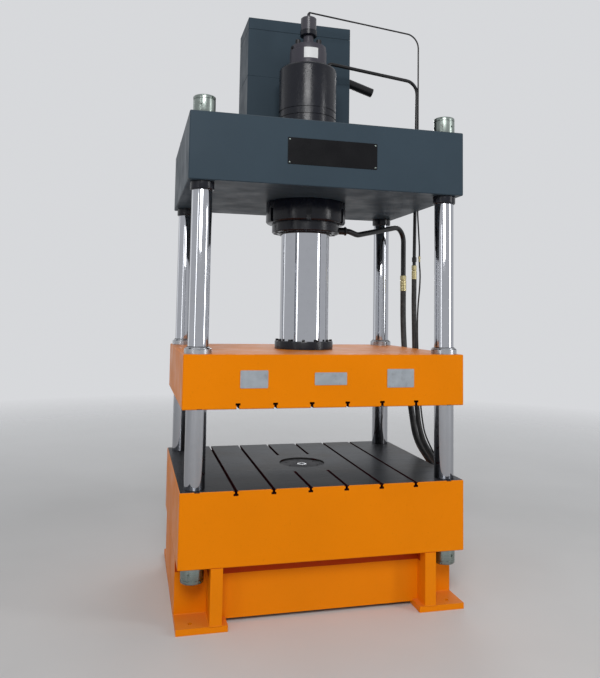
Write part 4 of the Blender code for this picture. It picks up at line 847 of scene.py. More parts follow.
@dataclass(frozen=True)
class Lamp:
    """A soft rectangular lamp that looks at a point on the line through the floor's middle."""

    name: str
    place: Point
    size: Pair
    power: float
    aim_height: float

    def build(self) -> None:
        """Hang the lamp."""
        lamp = bpy.data.lights.new(self.name, "AREA")
        lamp.shape, lamp.size, lamp.size_y, lamp.energy = "RECTANGLE", *self.size, self.power
        holder = show(self.name, lamp)
        holder.location = self.place
        aim = Vector((0, 0, self.aim_height)) - Vector(self.place)
        holder.rotation_euler = aim.to_track_quat("-Z", "Y").to_euler()


@dataclass
class Studio:
    """The camera at the photograph's angle, the pale floor and the soft light."""

    eye: Point = (-1.0007, -3.9054, 1.5386)
    yaw: float = 0.2436
    pitch: float = 0.0712
    roll: float = 0.0162
    focal: float = 672.1              # in pixels of a frame 600 wide
    frame_width: float = 600.0
    drop: float = -73.5               # of the frame's middle, in the same pixels
    sensor: float = 36.0
    sight: float = 200.0
    floor_size: float = 80.0
    fade_start: float = 2.2
    fade_end: float = 9.0
    floor_drop: float = 0.0005
    floor_colour: Colour = (0.62, 0.62, 0.615)
    floor_tones: tuple[Colour, Colour] = ((0.60, 0.60, 0.595), (0.64, 0.64, 0.635))
    floor_cloud: Cloud = (0.8, 5.0)
    floor_grain: Cloud = (60.0, 4.0)
    floor_bump: Pair = (0.04, 0.002)      # strength and depth
    floor_roughness: float = 0.65
    background: Colour = (0.68, 0.69, 0.71)
    ambient: Colour = (0.86, 0.88, 0.92)
    ambient_strength: float = 0.36
    lamps: tuple[Lamp, ...] = (
        Lamp("key", (-1.5, -5.8, 4.8), (2.4, 2.4), 216.0, 1.3),
        Lamp("fill", (4.6, -3.6, 2.8), (0.7, 3.8), 80.0, 1.5),
        Lamp("strip", (-3.6, -3.2, 2.4), (0.35, 3.6), 15.0, 1.5),
        Lamp("back", (1.8, 5.2, 4.4), (3.0, 2.0), 70.0, 2.0),
        Lamp("left", (-4.6, 3.4, 2.6), (0.8, 4.0), 10.0, 1.6),
    )

    def build_camera(self) -> None:
        """The camera, placed by its eye, its turn and its sideways lean."""
        camera = bpy.data.cameras.new("camera")
        camera.sensor_fit, camera.sensor_width = "HORIZONTAL", self.sensor
        camera.lens = self.focal / self.frame_width * self.sensor
        camera.shift_y = self.drop / self.frame_width
        camera.clip_end = self.sight
        ahead = Vector((math.sin(self.yaw) * math.cos(self.pitch), math.cos(self.yaw) * math.cos(self.pitch),
                        math.sin(self.pitch)))
        level = Vector((math.cos(self.yaw), -math.sin(self.yaw), 0))
        upright = level.cross(ahead)
        c, s = math.cos(self.roll), math.sin(self.roll)
        right, up = c * level + s * upright, c * upright - s * level
        place = Vector(self.eye) + PRESS_AXIS
        holder = show("camera", camera)
        holder.matrix_world = Matrix((
            (right.x, up.x, -ahead.x, place.x), (right.y, up.y, -ahead.y, place.y),
            (right.z, up.z, -ahead.z, place.z), (0, 0, 0, 1),
        ))
        bpy.context.scene.camera = holder

    def build_floor(self) -> None:
        """A wide pale floor that takes the press's shadow."""
        bm = bmesh.new()
        bmesh.ops.create_grid(bm, x_segments=1, y_segments=1, size=self.floor_size / 2)
        bmesh.ops.translate(bm, vec=(0, 0, -self.floor_drop), verts=bm.verts[:])
        mesh = to_mesh("floor", bm)
        graph = Graph("floor_pale", self.floor_colour, self.floor_roughness, 0.0)
        graph.shade("Base Color", graph.mix(graph.cloud(self.floor_cloud, 0.0, 1.0), *self.floor_tones))
        graph.bump(graph.noise(*self.floor_grain), *self.floor_bump)
        graph.fade_out(self.fade_start, self.fade_end)
        mesh.materials.append(graph.material)
        floor = show("floor", mesh)

    def sky(self, nodes: bpy.types.Nodes, colour: Colour, strength: float) -> bpy.types.Node:
        """An even sky."""
        node = nodes.new("ShaderNodeBackground")
        node.inputs["Color"].default_value = (*colour, 1.0)
        node.inputs["Strength"].default_value = strength
        return node

    def build_light(self) -> None:
        """Large soft lamps and a plain world that is brighter where the camera and mirrors see it."""
        for lamp in self.lamps:
            lamp.build()
        world = bpy.data.worlds.new("studio")
        bpy.context.scene.world = world
        world.use_nodes = True
        nodes, links = world.node_tree.nodes, world.node_tree.links
        nodes.clear()
        output = nodes.new("ShaderNodeOutputWorld")
        rays = nodes.new("ShaderNodeLightPath")
        shader = self.sky(nodes, self.ambient, self.ambient_strength)
        for ray in ("Is Camera Ray", "Is Glossy Ray", "Is Transmission Ray"):
            choice = nodes.new("ShaderNodeMixShader")
            links.new(rays.outputs[ray], choice.inputs[0])
            links.new(shader.outputs[0], choice.inputs[1])
            links.new(self.sky(nodes, self.background, 1.0).outputs[0], choice.inputs[2])
            shader = choice
        links.new(shader.outputs[0], output.inputs["Surface"])
        bpy.context.scene.view_settings.view_transform = "Standard"


@dataclass(frozen=True)
class Fitting:
    """A pressed hose fitting: a hexagon nut on a grooved sleeve."""

    sleeve: float
    nut: float
    nut_height: float
    groove: float = 0.0012
    grooves: int = 3
    relief: float = 0.006             # of the sleeve under its nut
    edge: float = 0.0016

    def add(self, bm: Mesh, length: float) -> Verts:
        """Add the fitting along +Z, its hose end at 0 and its nut's free face at length."""
        before = set(bm.verts)
        waist, r, g = length - self.nut_height, self.sleeve, self.groove
        step = (waist - self.relief) / (self.grooves + 1)
        outline: Outline = [(0, 0), (r - g, 0), (r, g)]
        for i in range(1, self.grooves + 1):
            outline += [(r, i * step - g), (r - g, i * step), (r - g, i * step + g), (r, i * step + 2 * g)]
        low, thin = waist - self.relief, r - 3 * g
        outline += [(r, low), (thin, low + self.relief / 2), (thin, waist + g), (0, waist + g)]
        add_turned(bm, outline, SMALL_SIDES)
        add_turned(bm, disc_outline(self.nut, waist, length, below=self.edge, above=self.edge), HEX_SIDES)
        return gained(bm, before)


@dataclass
class Hose:
    """One free hose: its route from the fitting down to the floor, its fitting and its far connector."""

    name: str
    route: list[Point]
    radius: float
    top: float
    fitting: Fitting
    connector_length: float = 0.075
    points: int = 76

    def build(self) -> None:
        """The hose, its upper fitting and its connector."""
        path = smooth_path(self.route, self.points, self.radius)
        hose = tube_piece(f"{self.name}_hose_line", path, self.radius, RUBBER, (f"{self.name}_hose",), 4)
        start, end = Vector(self.route[0]), Vector(self.route[-1])
        way = (end - Vector(self.route[-2])).normalized()
        bm = bmesh.new()
        verts = self.fitting.add(bm, self.connector_length)
        turn = way.to_track_quat("Z", "X").to_matrix().to_4x4()
        bmesh.ops.transform(bm, matrix=Matrix.Translation(end + way * GAP) @ turn, verts=verts)
        connector = finish_mesh(f"{self.name}_hose_end", bm, YELLOW, (f"{self.name}_hose_connector",))
        bm = bmesh.new()
        bottom = start.z + GAP
        verts = self.fitting.add(bm, self.top - bottom)
        bmesh.ops.translate(bm, vec=(start.x, start.y, bottom), verts=verts)
        finish_mesh(f"{self.name}_hose_fitting", bm, YELLOW, (f"{self.name}_fitting",))


PRESSURE_HOSE = Hose("pressure", [
    (0.775, 0.155, 1.7717), (0.775, 0.155, 1.72), (0.775, 0.156, 1.62), (0.775, 0.151, 1.49),
    (0.776, 0.146, 1.35), (0.778, 0.142, 1.2), (0.781, 0.134, 1.06), (0.785, 0.122, 0.945),
    (0.789, 0.1, 0.845), (0.796, 0.045, 0.752), (0.806, -0.066, 0.678), (0.814, -0.155, 0.62),
    (0.823, -0.223, 0.52), (0.828, -0.238, 0.4), (0.833, -0.215, 0.28), (0.837, -0.16, 0.165),
    (0.84, -0.07, 0.075), (0.842, 0.04, 0.033), (0.844, 0.16, 0.024), (0.846, 0.29, 0.023),
    (0.848, 0.4, 0.023),
], 0.016, 1.862, Fitting(0.0165, 0.0180, 0.030))
RETURN_HOSE = Hose("return", [
    (0.785, 0.36, 1.7017), (0.785, 0.36, 1.64), (0.785, 0.358, 1.52), (0.785, 0.345, 1.38),
    (0.786, 0.322, 1.24), (0.788, 0.29, 1.1), (0.792, 0.25, 0.975), (0.796, 0.219, 0.87),
    (0.801, 0.192, 0.785), (0.808, 0.136, 0.715), (0.82, 0.048, 0.656), (0.832, -0.03, 0.603),
    (0.845, -0.09, 0.525), (0.857, -0.118, 0.425), (0.868, -0.112, 0.31), (0.879, -0.07, 0.195),
    (0.888, 0.01, 0.1), (0.895, 0.12, 0.047), (0.899, 0.24, 0.03), (0.902, 0.36, 0.028),
    (0.904, 0.45, 0.028),
], 0.019, 1.806, Fitting(0.0210, 0.0230, 0.028))
PILOT_HOSE = Hose("pilot", [
    (0.775, 0.073, 1.8797), (0.775, 0.073, 1.865), (0.776, 0.067, 1.83), (0.777, 0.065, 1.785),
    (0.778, 0.075, 1.71), (0.779, 0.096, 1.62), (0.781, 0.112, 1.53), (0.785, 0.121, 1.42),
    (0.79, 0.122, 1.28), (0.795, 0.118, 1.13), (0.801, 0.11, 1), (0.808, 0.096, 0.89), (0.814, 0.066, 0.8),
    (0.822, -0.01, 0.722), (0.832, -0.1, 0.658), (0.841, -0.18, 0.596), (0.847, -0.228, 0.505),
    (0.852, -0.24, 0.395), (0.857, -0.218, 0.275), (0.861, -0.16, 0.155), (0.864, -0.07, 0.058),
    (0.866, 0.04, 0.018), (0.868, 0.16, 0.0115), (0.87, 0.29, 0.011), (0.872, 0.4, 0.011),
], 0.005, 1.915, Fitting(0.0065, 0.0085, 0.016, 0.0006))


@dataclass(frozen=True)
class Corner:
    """One of the four places where a column stands."""

    name: str
    side: int                         # 1 on the right, -1 on the left
    back: int                         # 1 at the rear, -1 at the front
    turn: float                       # of the spanner holes in its nuts

    @property
    def x(self) -> float:
        """How far it lies to the right of the press axis."""
        return self.side * COLUMN_X

    @property
    def y(self) -> float:
        """How far it lies behind the press axis."""
        return self.back * COLUMN_Y


CORNERS = (
    Corner("front_left", -1, -1, -0.377), Corner("front_right", 1, -1, 0.340),
    Corner("rear_right", 1, 1, 0.900), Corner("rear_left", -1, 1, 1.500),
)


@dataclass
class Columns:
    """The four chrome columns with their nuts and the lock collars under the crown."""

    top_height: float = 0.093
    bottom_height: float = 0.080
    sunk: float = 0.003               # how far a column's end lies inside its nut
    round: float = 0.0025
    centre_r: float = 0.0075
    nut_r: float = 0.0575
    groove_drop: float = 0.018
    groove_width: float = 0.004
    groove_depth: float = 0.003
    holes: int = 6
    hole_sides: int = 20
    hole_r: float = 0.0065
    hole_depth: float = 0.008
    hole_rows: Pair = (0.038, 0.081)
    chamfer: float = 0.004
    nut_round: float = 0.0006
    collar_r: float = 0.0615
    collar_height: float = 0.042
    collar_round: float = 0.0008
    split_half: float = 0.0012
    split_start: float = 0.040
    split_end: float = 0.080
    split_roof: float = 0.006

    def build(self) -> None:
        """Every column with what stands on it."""
        for corner in CORNERS:
            self.build_column(corner)
            self.build_nut("top_nut", corner, CROWN_TOP + GAP, 1, self.top_height)
            self.build_nut("bottom_nut", corner, BASE_TOP - GAP, -1, self.bottom_height)
            self.build_collar(corner)

    def build_column(self, corner: Corner) -> None:
        """One column, thinner through the bed and the crown."""
        top, bottom = CROWN_TOP + self.top_height - self.sunk, BASE_TOP - self.bottom_height + self.sunk
        turned_piece(f"guide_column_{corner.name}", [
            (0, bottom + self.centre_r), (self.centre_r, bottom), (COLUMN_NECK_R, bottom),
            (COLUMN_NECK_R, BED_TOP + GAP), (COLUMN_R, BED_TOP + GAP), (COLUMN_R, CROWN_BOTTOM - GAP),
            (COLUMN_NECK_R, CROWN_BOTTOM - GAP), (COLUMN_NECK_R, top), (self.centre_r, top),
            (0, top - self.centre_r),
        ], SIDES, CHROME, (f"column_{corner.name}",), at=(corner.x, corner.y, 0), soft=(self.round, 2))

    def build_nut(self, kind: str, corner: Corner, seat: float, way: int, height: float) -> None:
        """One round nut with its groove and its spanner holes.

        Args:
            kind: top_nut or bottom_nut.
            corner: where its column stands.
            seat: the height of the face that it bears on.
            way: 1 for a nut that grows up from its seat, -1 for one that grows down.
            height: its height.
        """
        inner, r, c, d = COLUMN_NECK_R + GAP, self.nut_r, self.chamfer, self.groove_depth
        high = height - self.groove_drop
        low = high - self.groove_width
        outline = [
            (inner, 0), (r - c / 2, 0), (r, c / 2), (r, low), (r - d, low), (r - d, high), (r, high),
            (r, height - c), (r - c, height), (inner + c / 2, height), (inner, height - c / 2),
        ]
        name = f"{kind}_{corner.name}"
        outline = [(radius, way * z) for radius, z in outline]
        nut = turned_piece(f"{name}_turned", outline, SIDES, ZINC, (name,), at=(corner.x, corner.y, seat),
                           soft=(self.nut_round, 1))
        hole = disc_outline(self.hole_r, r - self.hole_depth, r + REACH)
        holes = bmesh.new()
        for i in range(self.holes):
            verts = add_turned(holes, hole, self.hole_sides, axis="Y")
            rise = way * self.hole_rows[i % 2] * height / self.top_height
            place = Matrix.Translation((corner.x, corner.y, seat + rise))
            spun = Matrix.Rotation(math.pi + FULL_TURN * i / self.holes + corner.turn, 4, "Z")
            bmesh.ops.transform(holes, matrix=place @ spun, verts=verts)
        cut(nut, holes)

    def build_collar(self, corner: Corner) -> None:
        """The split lock collar against the crown."""
        top = CROWN_BOTTOM - GAP
        low = top - self.collar_height
        outline = disc_outline(self.collar_r, low, top, COLUMN_R + GAP, below=self.chamfer)
        collar = turned_piece(f"collar_{corner.name}", outline, SIDES, BLACK, (f"lock_collar_{corner.name}",),
                              at=(corner.x, corner.y, 0), soft=(self.collar_round, 1))
        near, far = (corner.x + corner.side * reach for reach in (self.split_start, self.split_end))
        split = bmesh.new()
        add_block(split, (near, corner.y - self.split_half, low - REACH),
                  (far, corner.y + self.split_half, top - self.split_roof))
        cut(collar, split)


@dataclass
class Cylinder:
    """The main cylinder with its lock nut under the crown, its gland and its two connections."""

    slope_drop: float = 0.022
    slope_run: float = 0.028
    slope_steps: int = 8
    band_low: float = 2.704
    band_high: float = 2.755
    band_groove: float = 0.008
    band_depth: float = 0.004
    band_edge: float = 0.001
    head_port_r: float = 0.055
    head_wall: float = 0.068
    nut_r: float = 0.239
    nut_chamfers: Pair = (0.008, 0.004)
    nut_round: float = 0.001
    nut_slots: int = 6
    nut_slot_turn: float = 0.35
    nut_slot_half: float = 0.014
    nut_slot_depth: float = 0.012
    nut_slot_roof: float = 0.045
    gland_r: float = 0.202
    gland_bottom: float = 2.017
    gland_chamfer: float = 0.005
    spigot: float = 0.036
    screw: SocketScrew = SocketScrew(0.012, 0.0125)
    screws: int = 12
    screw_circle: float = 0.182
    screw_turn: float = 0.13
    sink_r: float = 0.0135
    sink_depth: float = 0.010
    wiper_r: float = 0.160
    wiper_drop: float = 0.006
    wiper_edge: float = 0.002
    wiper_width: float = 0.006
    pressure_port: tuple[float, float, float] = (0.135, 0.040, 0.018)
    pressure_seat: float = 0.036
    pressure_rise: float = 0.024
    pressure_chamfer: float = 0.002
    return_port_r: float = 0.022
    return_seat: float = 0.020
    return_reach: float = 0.042
    return_rise: float = 0.028
    return_chamfer: float = 0.003

    def build(self) -> None:
        """The cylinder and what is screwed onto it."""
        self.build_barrel()
        self.build_lock_nut()
        self.build_gland()
        self.build_ports()

    def build_barrel(self) -> None:
        """The barrel and head in one forging, with the two grooves of its band."""
        turns = [i * math.pi / 2 / self.slope_steps for i in range(self.slope_steps + 1)]
        rise = [(HEAD_R - self.slope_run * (1 - math.cos(a)), HEAD_TOP - self.slope_drop * (1 - math.sin(a)))
                for a in turns]
        groove, deep, edge = self.band_groove, HEAD_R - self.band_depth, self.band_edge
        low, high, roof = self.band_low, self.band_high, HEAD_TOP - self.head_wall
        barrel = turned_piece("cylinder_forging", [
            (BORE_R, BARREL_BOTTOM), (BARREL_R, BARREL_BOTTOM), (BARREL_R, CROWN_TOP + GAP),
            (HEAD_R, CROWN_TOP + GAP), (HEAD_R, low), (deep, low + edge), (deep, low + groove),
            (HEAD_R, low + groove + edge), (HEAD_R, high - groove), (deep, high - groove + edge),
            (deep, high - edge), (HEAD_R, high), *rise, (self.head_port_r, HEAD_TOP),
            (self.head_port_r, roof), (BORE_R, roof),
        ], FINE_SIDES, BLACK, ("main_cylinder",))
        x, y, radius = self.pressure_port
        seat = bmesh.new()
        outline = disc_outline(radius + GAP, HEAD_TOP - self.pressure_seat, HEAD_TOP + REACH)
        add_turned(seat, outline, SMALL_SIDES, (x, y, 0))
        cut(barrel, seat)

    def build_lock_nut(self) -> None:
        """The big round nut that holds the cylinder up in the crown, with its spanner slots."""
        top, r = CROWN_BOTTOM - GAP, self.nut_r
        outline = disc_outline(r, BARREL_BOTTOM, top, BARREL_R + GAP, *self.nut_chamfers)
        nut = turned_piece("cylinder_round_nut", outline, FINE_SIDES, BLACK, ("cylinder_lock_nut",),
                           soft=(self.nut_round, 1))
        slots = bmesh.new()
        for i in range(self.nut_slots):
            verts = add_block(slots, (r - self.nut_slot_depth, -self.nut_slot_half, BARREL_BOTTOM - REACH),
                              (r + 2 * REACH, self.nut_slot_half, top - self.nut_slot_roof))
            turn = Matrix.Rotation(self.nut_slot_turn + FULL_TURN * i / self.nut_slots, 3, "Z")
            bmesh.ops.rotate(slots, cent=(0, 0, 0), matrix=turn, verts=verts)
        cut(nut, slots)

    def build_gland(self) -> None:
        """The gland ring with its wiper and its screws."""
        low, top, r, bore = self.gland_bottom, BARREL_BOTTOM - GAP, self.gland_r, RAM_R + GAP
        lip, c, e = low - self.wiper_drop, self.gland_chamfer, self.wiper_edge
        gland = turned_piece("gland_ring", [
            (bore, lip), (self.wiper_r - e, lip), (self.wiper_r, lip + e), (self.wiper_r, low), (r - c, low),
            (r, low + c), (r, top), (BORE_R - GAP, top), (BORE_R - GAP, top + self.spigot),
            (bore, top + self.spigot),
        ], FINE_SIDES, BLACK, ("cylinder_gland",))
        sinks = bmesh.new()
        seat = disc_outline(self.return_port_r + GAP, r - self.return_seat, r + REACH)
        add_turned(sinks, seat, SMALL_SIDES, (0, 0, low + self.return_rise), axis="X")
        floor = low + self.sink_depth
        seats = ring_of(self.screws, self.screw_circle, floor - GAP, DOWN, self.screw_turn)
        add_sinks(sinks, seats, self.sink_r, low - REACH, floor)
        cut(gland, sinks)
        self.screw.build("gland_screws", seats)
        outline = wiper_outline(bore, RAM_R + self.wiper_width, lip - GAP, -1)
        turned_piece("ram_wiper", outline, FINE_SIDES, RUBBER)

    def build_ports(self) -> None:
        """The two connections: on the head for pressure and on the gland for return."""
        x, y, r = self.pressure_port
        outline = disc_outline(r, HEAD_TOP - self.pressure_seat + GAP, HEAD_TOP + self.pressure_rise,
                               above=self.pressure_chamfer)
        turned_piece("head_connection", outline, SMALL_SIDES, PIPE_BLACK, ("pressure_port",), at=(x, y, 0))
        outline = disc_outline(self.return_port_r, self.gland_r - self.return_seat + GAP,
                               self.gland_r + self.return_reach, above=self.return_chamfer)
        turned_piece("gland_connection", outline, SMALL_SIDES, PIPE_BLACK, ("return_port",),
                     at=(0, 0, self.gland_bottom + self.return_rise), axis="X")


@dataclass
class PrefillValve:
    """The prefill valve on the head, its pilot cylinder, its bare plate and the pipe to the tank."""

    radius: float = 0.113
    top: float = 3.165
    edge: tuple[Pair, ...] = ((0.0, 0.005), (0.001, 0.002), (0.004, 0.0))
    flange_r: float = 0.060
    flange_height: float = 0.014
    flange_chamfer: float = 0.003
    screw: SocketScrew = SocketScrew(0.0155, 0.027)
    screws: int = 4
    screw_circle: float = 0.089
    screw_turn: float = 31.0
    plug: SocketScrew = SocketScrew(0.0095, 0.006)
    plug_sunk: float = 0.001
    plug_z: float = 3.148
    plug_turn: float = 196.0
    joint_drop: float = 0.030
    joint_groove: float = 0.003
    neck_r: float = 0.031
    neck_flare: float = 0.006
    pilot_bottom: float = 3.239
    pilot_ring_r: float = 0.052
    pilot_ring_height: float = 0.034
    pilot_ring_chamfers: Pair = (0.004, 0.002)
    pilot_r: float = 0.048
    pilot_top: float = 3.355
    pilot_chamfer: float = 0.006
    nipple_r: float = 0.011
    nipple_height: float = 0.024
    nipple_sunk: float = 0.001
    nipple_chamfer: float = 0.002
    suction_r: float = 0.055
    suction_z: float = 3.088
    suction_seat: float = 0.018
    tank_front: float = 0.200
    plate_turn: float = -5.0
    plate_half_angle: float = 22.0
    plate_thickness: float = 0.0012
    plate_steps: int = 24
    plate_span: Pair = (3.067, 3.131)

    def build(self) -> None:
        """The valve and what stands on it."""
        self.build_body()
        self.build_pilot()
        self.build_plate()
        self.build_suction_pipe()

    def build_body(self) -> None:
        """The cast valve body with its joint, its screws and a side plug."""
        low, joint, g, r = HEAD_TOP + GAP, self.top - self.joint_drop, self.joint_groove, self.radius
        crest, c, flare = self.top + self.flange_height, self.flange_chamfer, self.neck_flare
        body = turned_piece("valve_housing", [
            (0, low), (r, low), (r, joint - g), (r - g, joint),
            *((r - g - inward, self.top - drop) for inward, drop in self.edge),
            (self.flange_r, self.top), (self.flange_r, crest - c), (self.flange_r - c, crest),
            (self.neck_r + flare, crest), (self.neck_r, crest + flare),
            (self.neck_r, self.pilot_bottom - GAP), (0, self.pilot_bottom - GAP),
        ], SIDES, VALVE, ("prefill_valve",))
        seat = bmesh.new()
        add_turned(seat, disc_outline(self.suction_r + GAP, r - self.suction_seat, r + REACH), SIDES,
                   (0, 0, self.suction_z), axis="Y")
        cut(body, seat)
        turn = math.radians(self.screw_turn)
        self.screw.build("valve_screws", ring_of(self.screws, self.screw_circle, self.top + GAP, start=turn))
        turn, reach = math.radians(self.plug_turn), r - g - self.plug_sunk
        way = (math.cos(turn), math.sin(turn), 0.0)
        self.plug.build("valve_plug", [((reach * way[0], reach * way[1], self.plug_z), way)])

    def build_pilot(self) -> None:
        """The pilot cylinder on its black ring, and the hexagon nipple on its top."""
        low, ring_top = self.pilot_bottom, self.pilot_bottom + self.pilot_ring_height
        outline = disc_outline(self.pilot_ring_r, low, ring_top, 0.0, *self.pilot_ring_chamfers)
        turned_piece("pilot_ring", outline, SIDES, BLACK)
        bm, top = bmesh.new(), self.pilot_top
        add_turned(bm, disc_outline(self.pilot_r, ring_top + GAP, top, above=self.pilot_chamfer), SIDES)
        add_turned(bm, disc_outline(self.nipple_r, top - self.nipple_sunk, top + self.nipple_height,
                                    above=self.nipple_chamfer), HEX_SIDES)
        finish_mesh("pilot_housing", bm, PILOT, ("pilot_cylinder",))

    def build_plate(self) -> None:
        """A bare white plate that follows the valve's round front."""
        low, high = self.plate_span
        inner, outer = self.radius + GAP, self.radius + self.plate_thickness
        start = math.radians(270 + self.plate_turn - self.plate_half_angle)
        bm = bmesh.new()
        section = (inner, 0, low), (outer, 0, low), (outer, 0, high), (inner, 0, high)
        corners = [bm.verts.new(point) for point in section]
        face = bm.faces.new(corners)
        bmesh.ops.rotate(bm, cent=(0, 0, 0), matrix=Matrix.Rotation(start, 3, "Z"), verts=corners)
        bmesh.ops.spin(bm, geom=[*corners, *face.edges, face], cent=(0, 0, 0), axis=UP,
                       angle=math.radians(2 * self.plate_half_angle), steps=self.plate_steps, use_merge=False)
        bmesh.ops.remove_doubles(bm, verts=bm.verts[:], dist=MERGE)
        finish_mesh("valve_plate", bm, WHITE_PLATE)

    def build_suction_pipe(self) -> None:
        """The wide pipe between the valve and the tank."""
        start, end = self.radius - self.suction_seat + GAP, self.tank_front - GAP
        turned_piece("suction_tube", disc_outline(self.suction_r, start, end), SIDES, PIPE_BLACK,
                     ("suction_pipe",), at=(0, 0, self.suction_z), axis="Y")


@dataclass
class Tank:
    """The oil tank's seams, plug and stub pipe; the sheet boxes themselves are the solids."""

    left: float = -0.340
    right: float = 0.335
    front: float = 0.200
    back: float = 0.545
    seams: tuple[Pair, ...] = ((2.5525, 0.0025), (3.034, 0.0016))
    plug_washer: Pair = (0.017, 0.003)
    plug_nut: Pair = (0.013, 0.013)
    plug_chamfer: float = 0.001
    plug_inset: float = 0.080
    plug_rise: float = 0.050
    stub: Point = (0.335, 0.370, 3.120)
    stub_r: float = 0.030
    stub_wall: float = 0.004
    stub_length: float = 0.225
    stub_chamfer: float = 0.001
    stub_mouth: float = 0.008
    stub_slope: float = math.radians(16.7)

    def build(self) -> None:
        """The weld beads, the drain plug and the stub pipe."""
        for number, (z, radius) in enumerate(self.seams):
            path = [(self.left, self.front, z), (self.right, self.front, z), (self.right, self.back, z),
                    (self.left, self.back, z)]
            tube_piece(f"tank_weld_{number}", path, radius, GREY, (), 2, closed=True)
        self.build_plug()
        self.build_stub()

    def build_plug(self) -> None:
        """The drain plug low on the tank's back."""
        (washer_r, washer), (nut_r, nut), c = self.plug_washer, self.plug_nut, self.plug_chamfer
        bm = bmesh.new()
        add_turned(bm, disc_outline(washer_r, 0, washer, above=c), SMALL_SIDES)
        add_turned(bm, disc_outline(nut_r, washer, nut, below=c, above=c), HEX_SIDES)
        turn = Matrix.Rotation(-math.pi / 2, 3, "X")
        bmesh.ops.rotate(bm, cent=(0, 0, 0), matrix=turn, verts=bm.verts[:])
        place = (self.left + self.plug_inset, self.back + GAP, CROWN_TOP + self.plug_rise)
        bmesh.ops.translate(bm, vec=place, verts=bm.verts[:])
        finish_mesh("drain_plug", bm, ZINC)

    def build_stub(self) -> None:
        """The open stub pipe that slopes down from the tank's side."""
        r, end, c = self.stub_r, self.stub_length, self.stub_chamfer
        inner, floor = r - self.stub_wall, end - self.stub_mouth
        bm = bmesh.new()
        verts = add_turned(bm, [(0, -2 * r), (r, -2 * r), (r, end - c), (r - c, end), (inner, end),
                                (inner, floor), (0, floor)], SMALL_SIDES, axis="X")
        bmesh.ops.transform(bm, matrix=Matrix.Rotation(self.stub_slope, 4, "Y"), verts=verts)
        clip(bm, (GAP, 0, 0), (1, 0, 0))
        bmesh.ops.translate(bm, vec=self.stub, verts=bm.verts[:])
        finish_mesh("stub_tube", bm, PIPE_BLACK, ("tank_stub_pipe",))


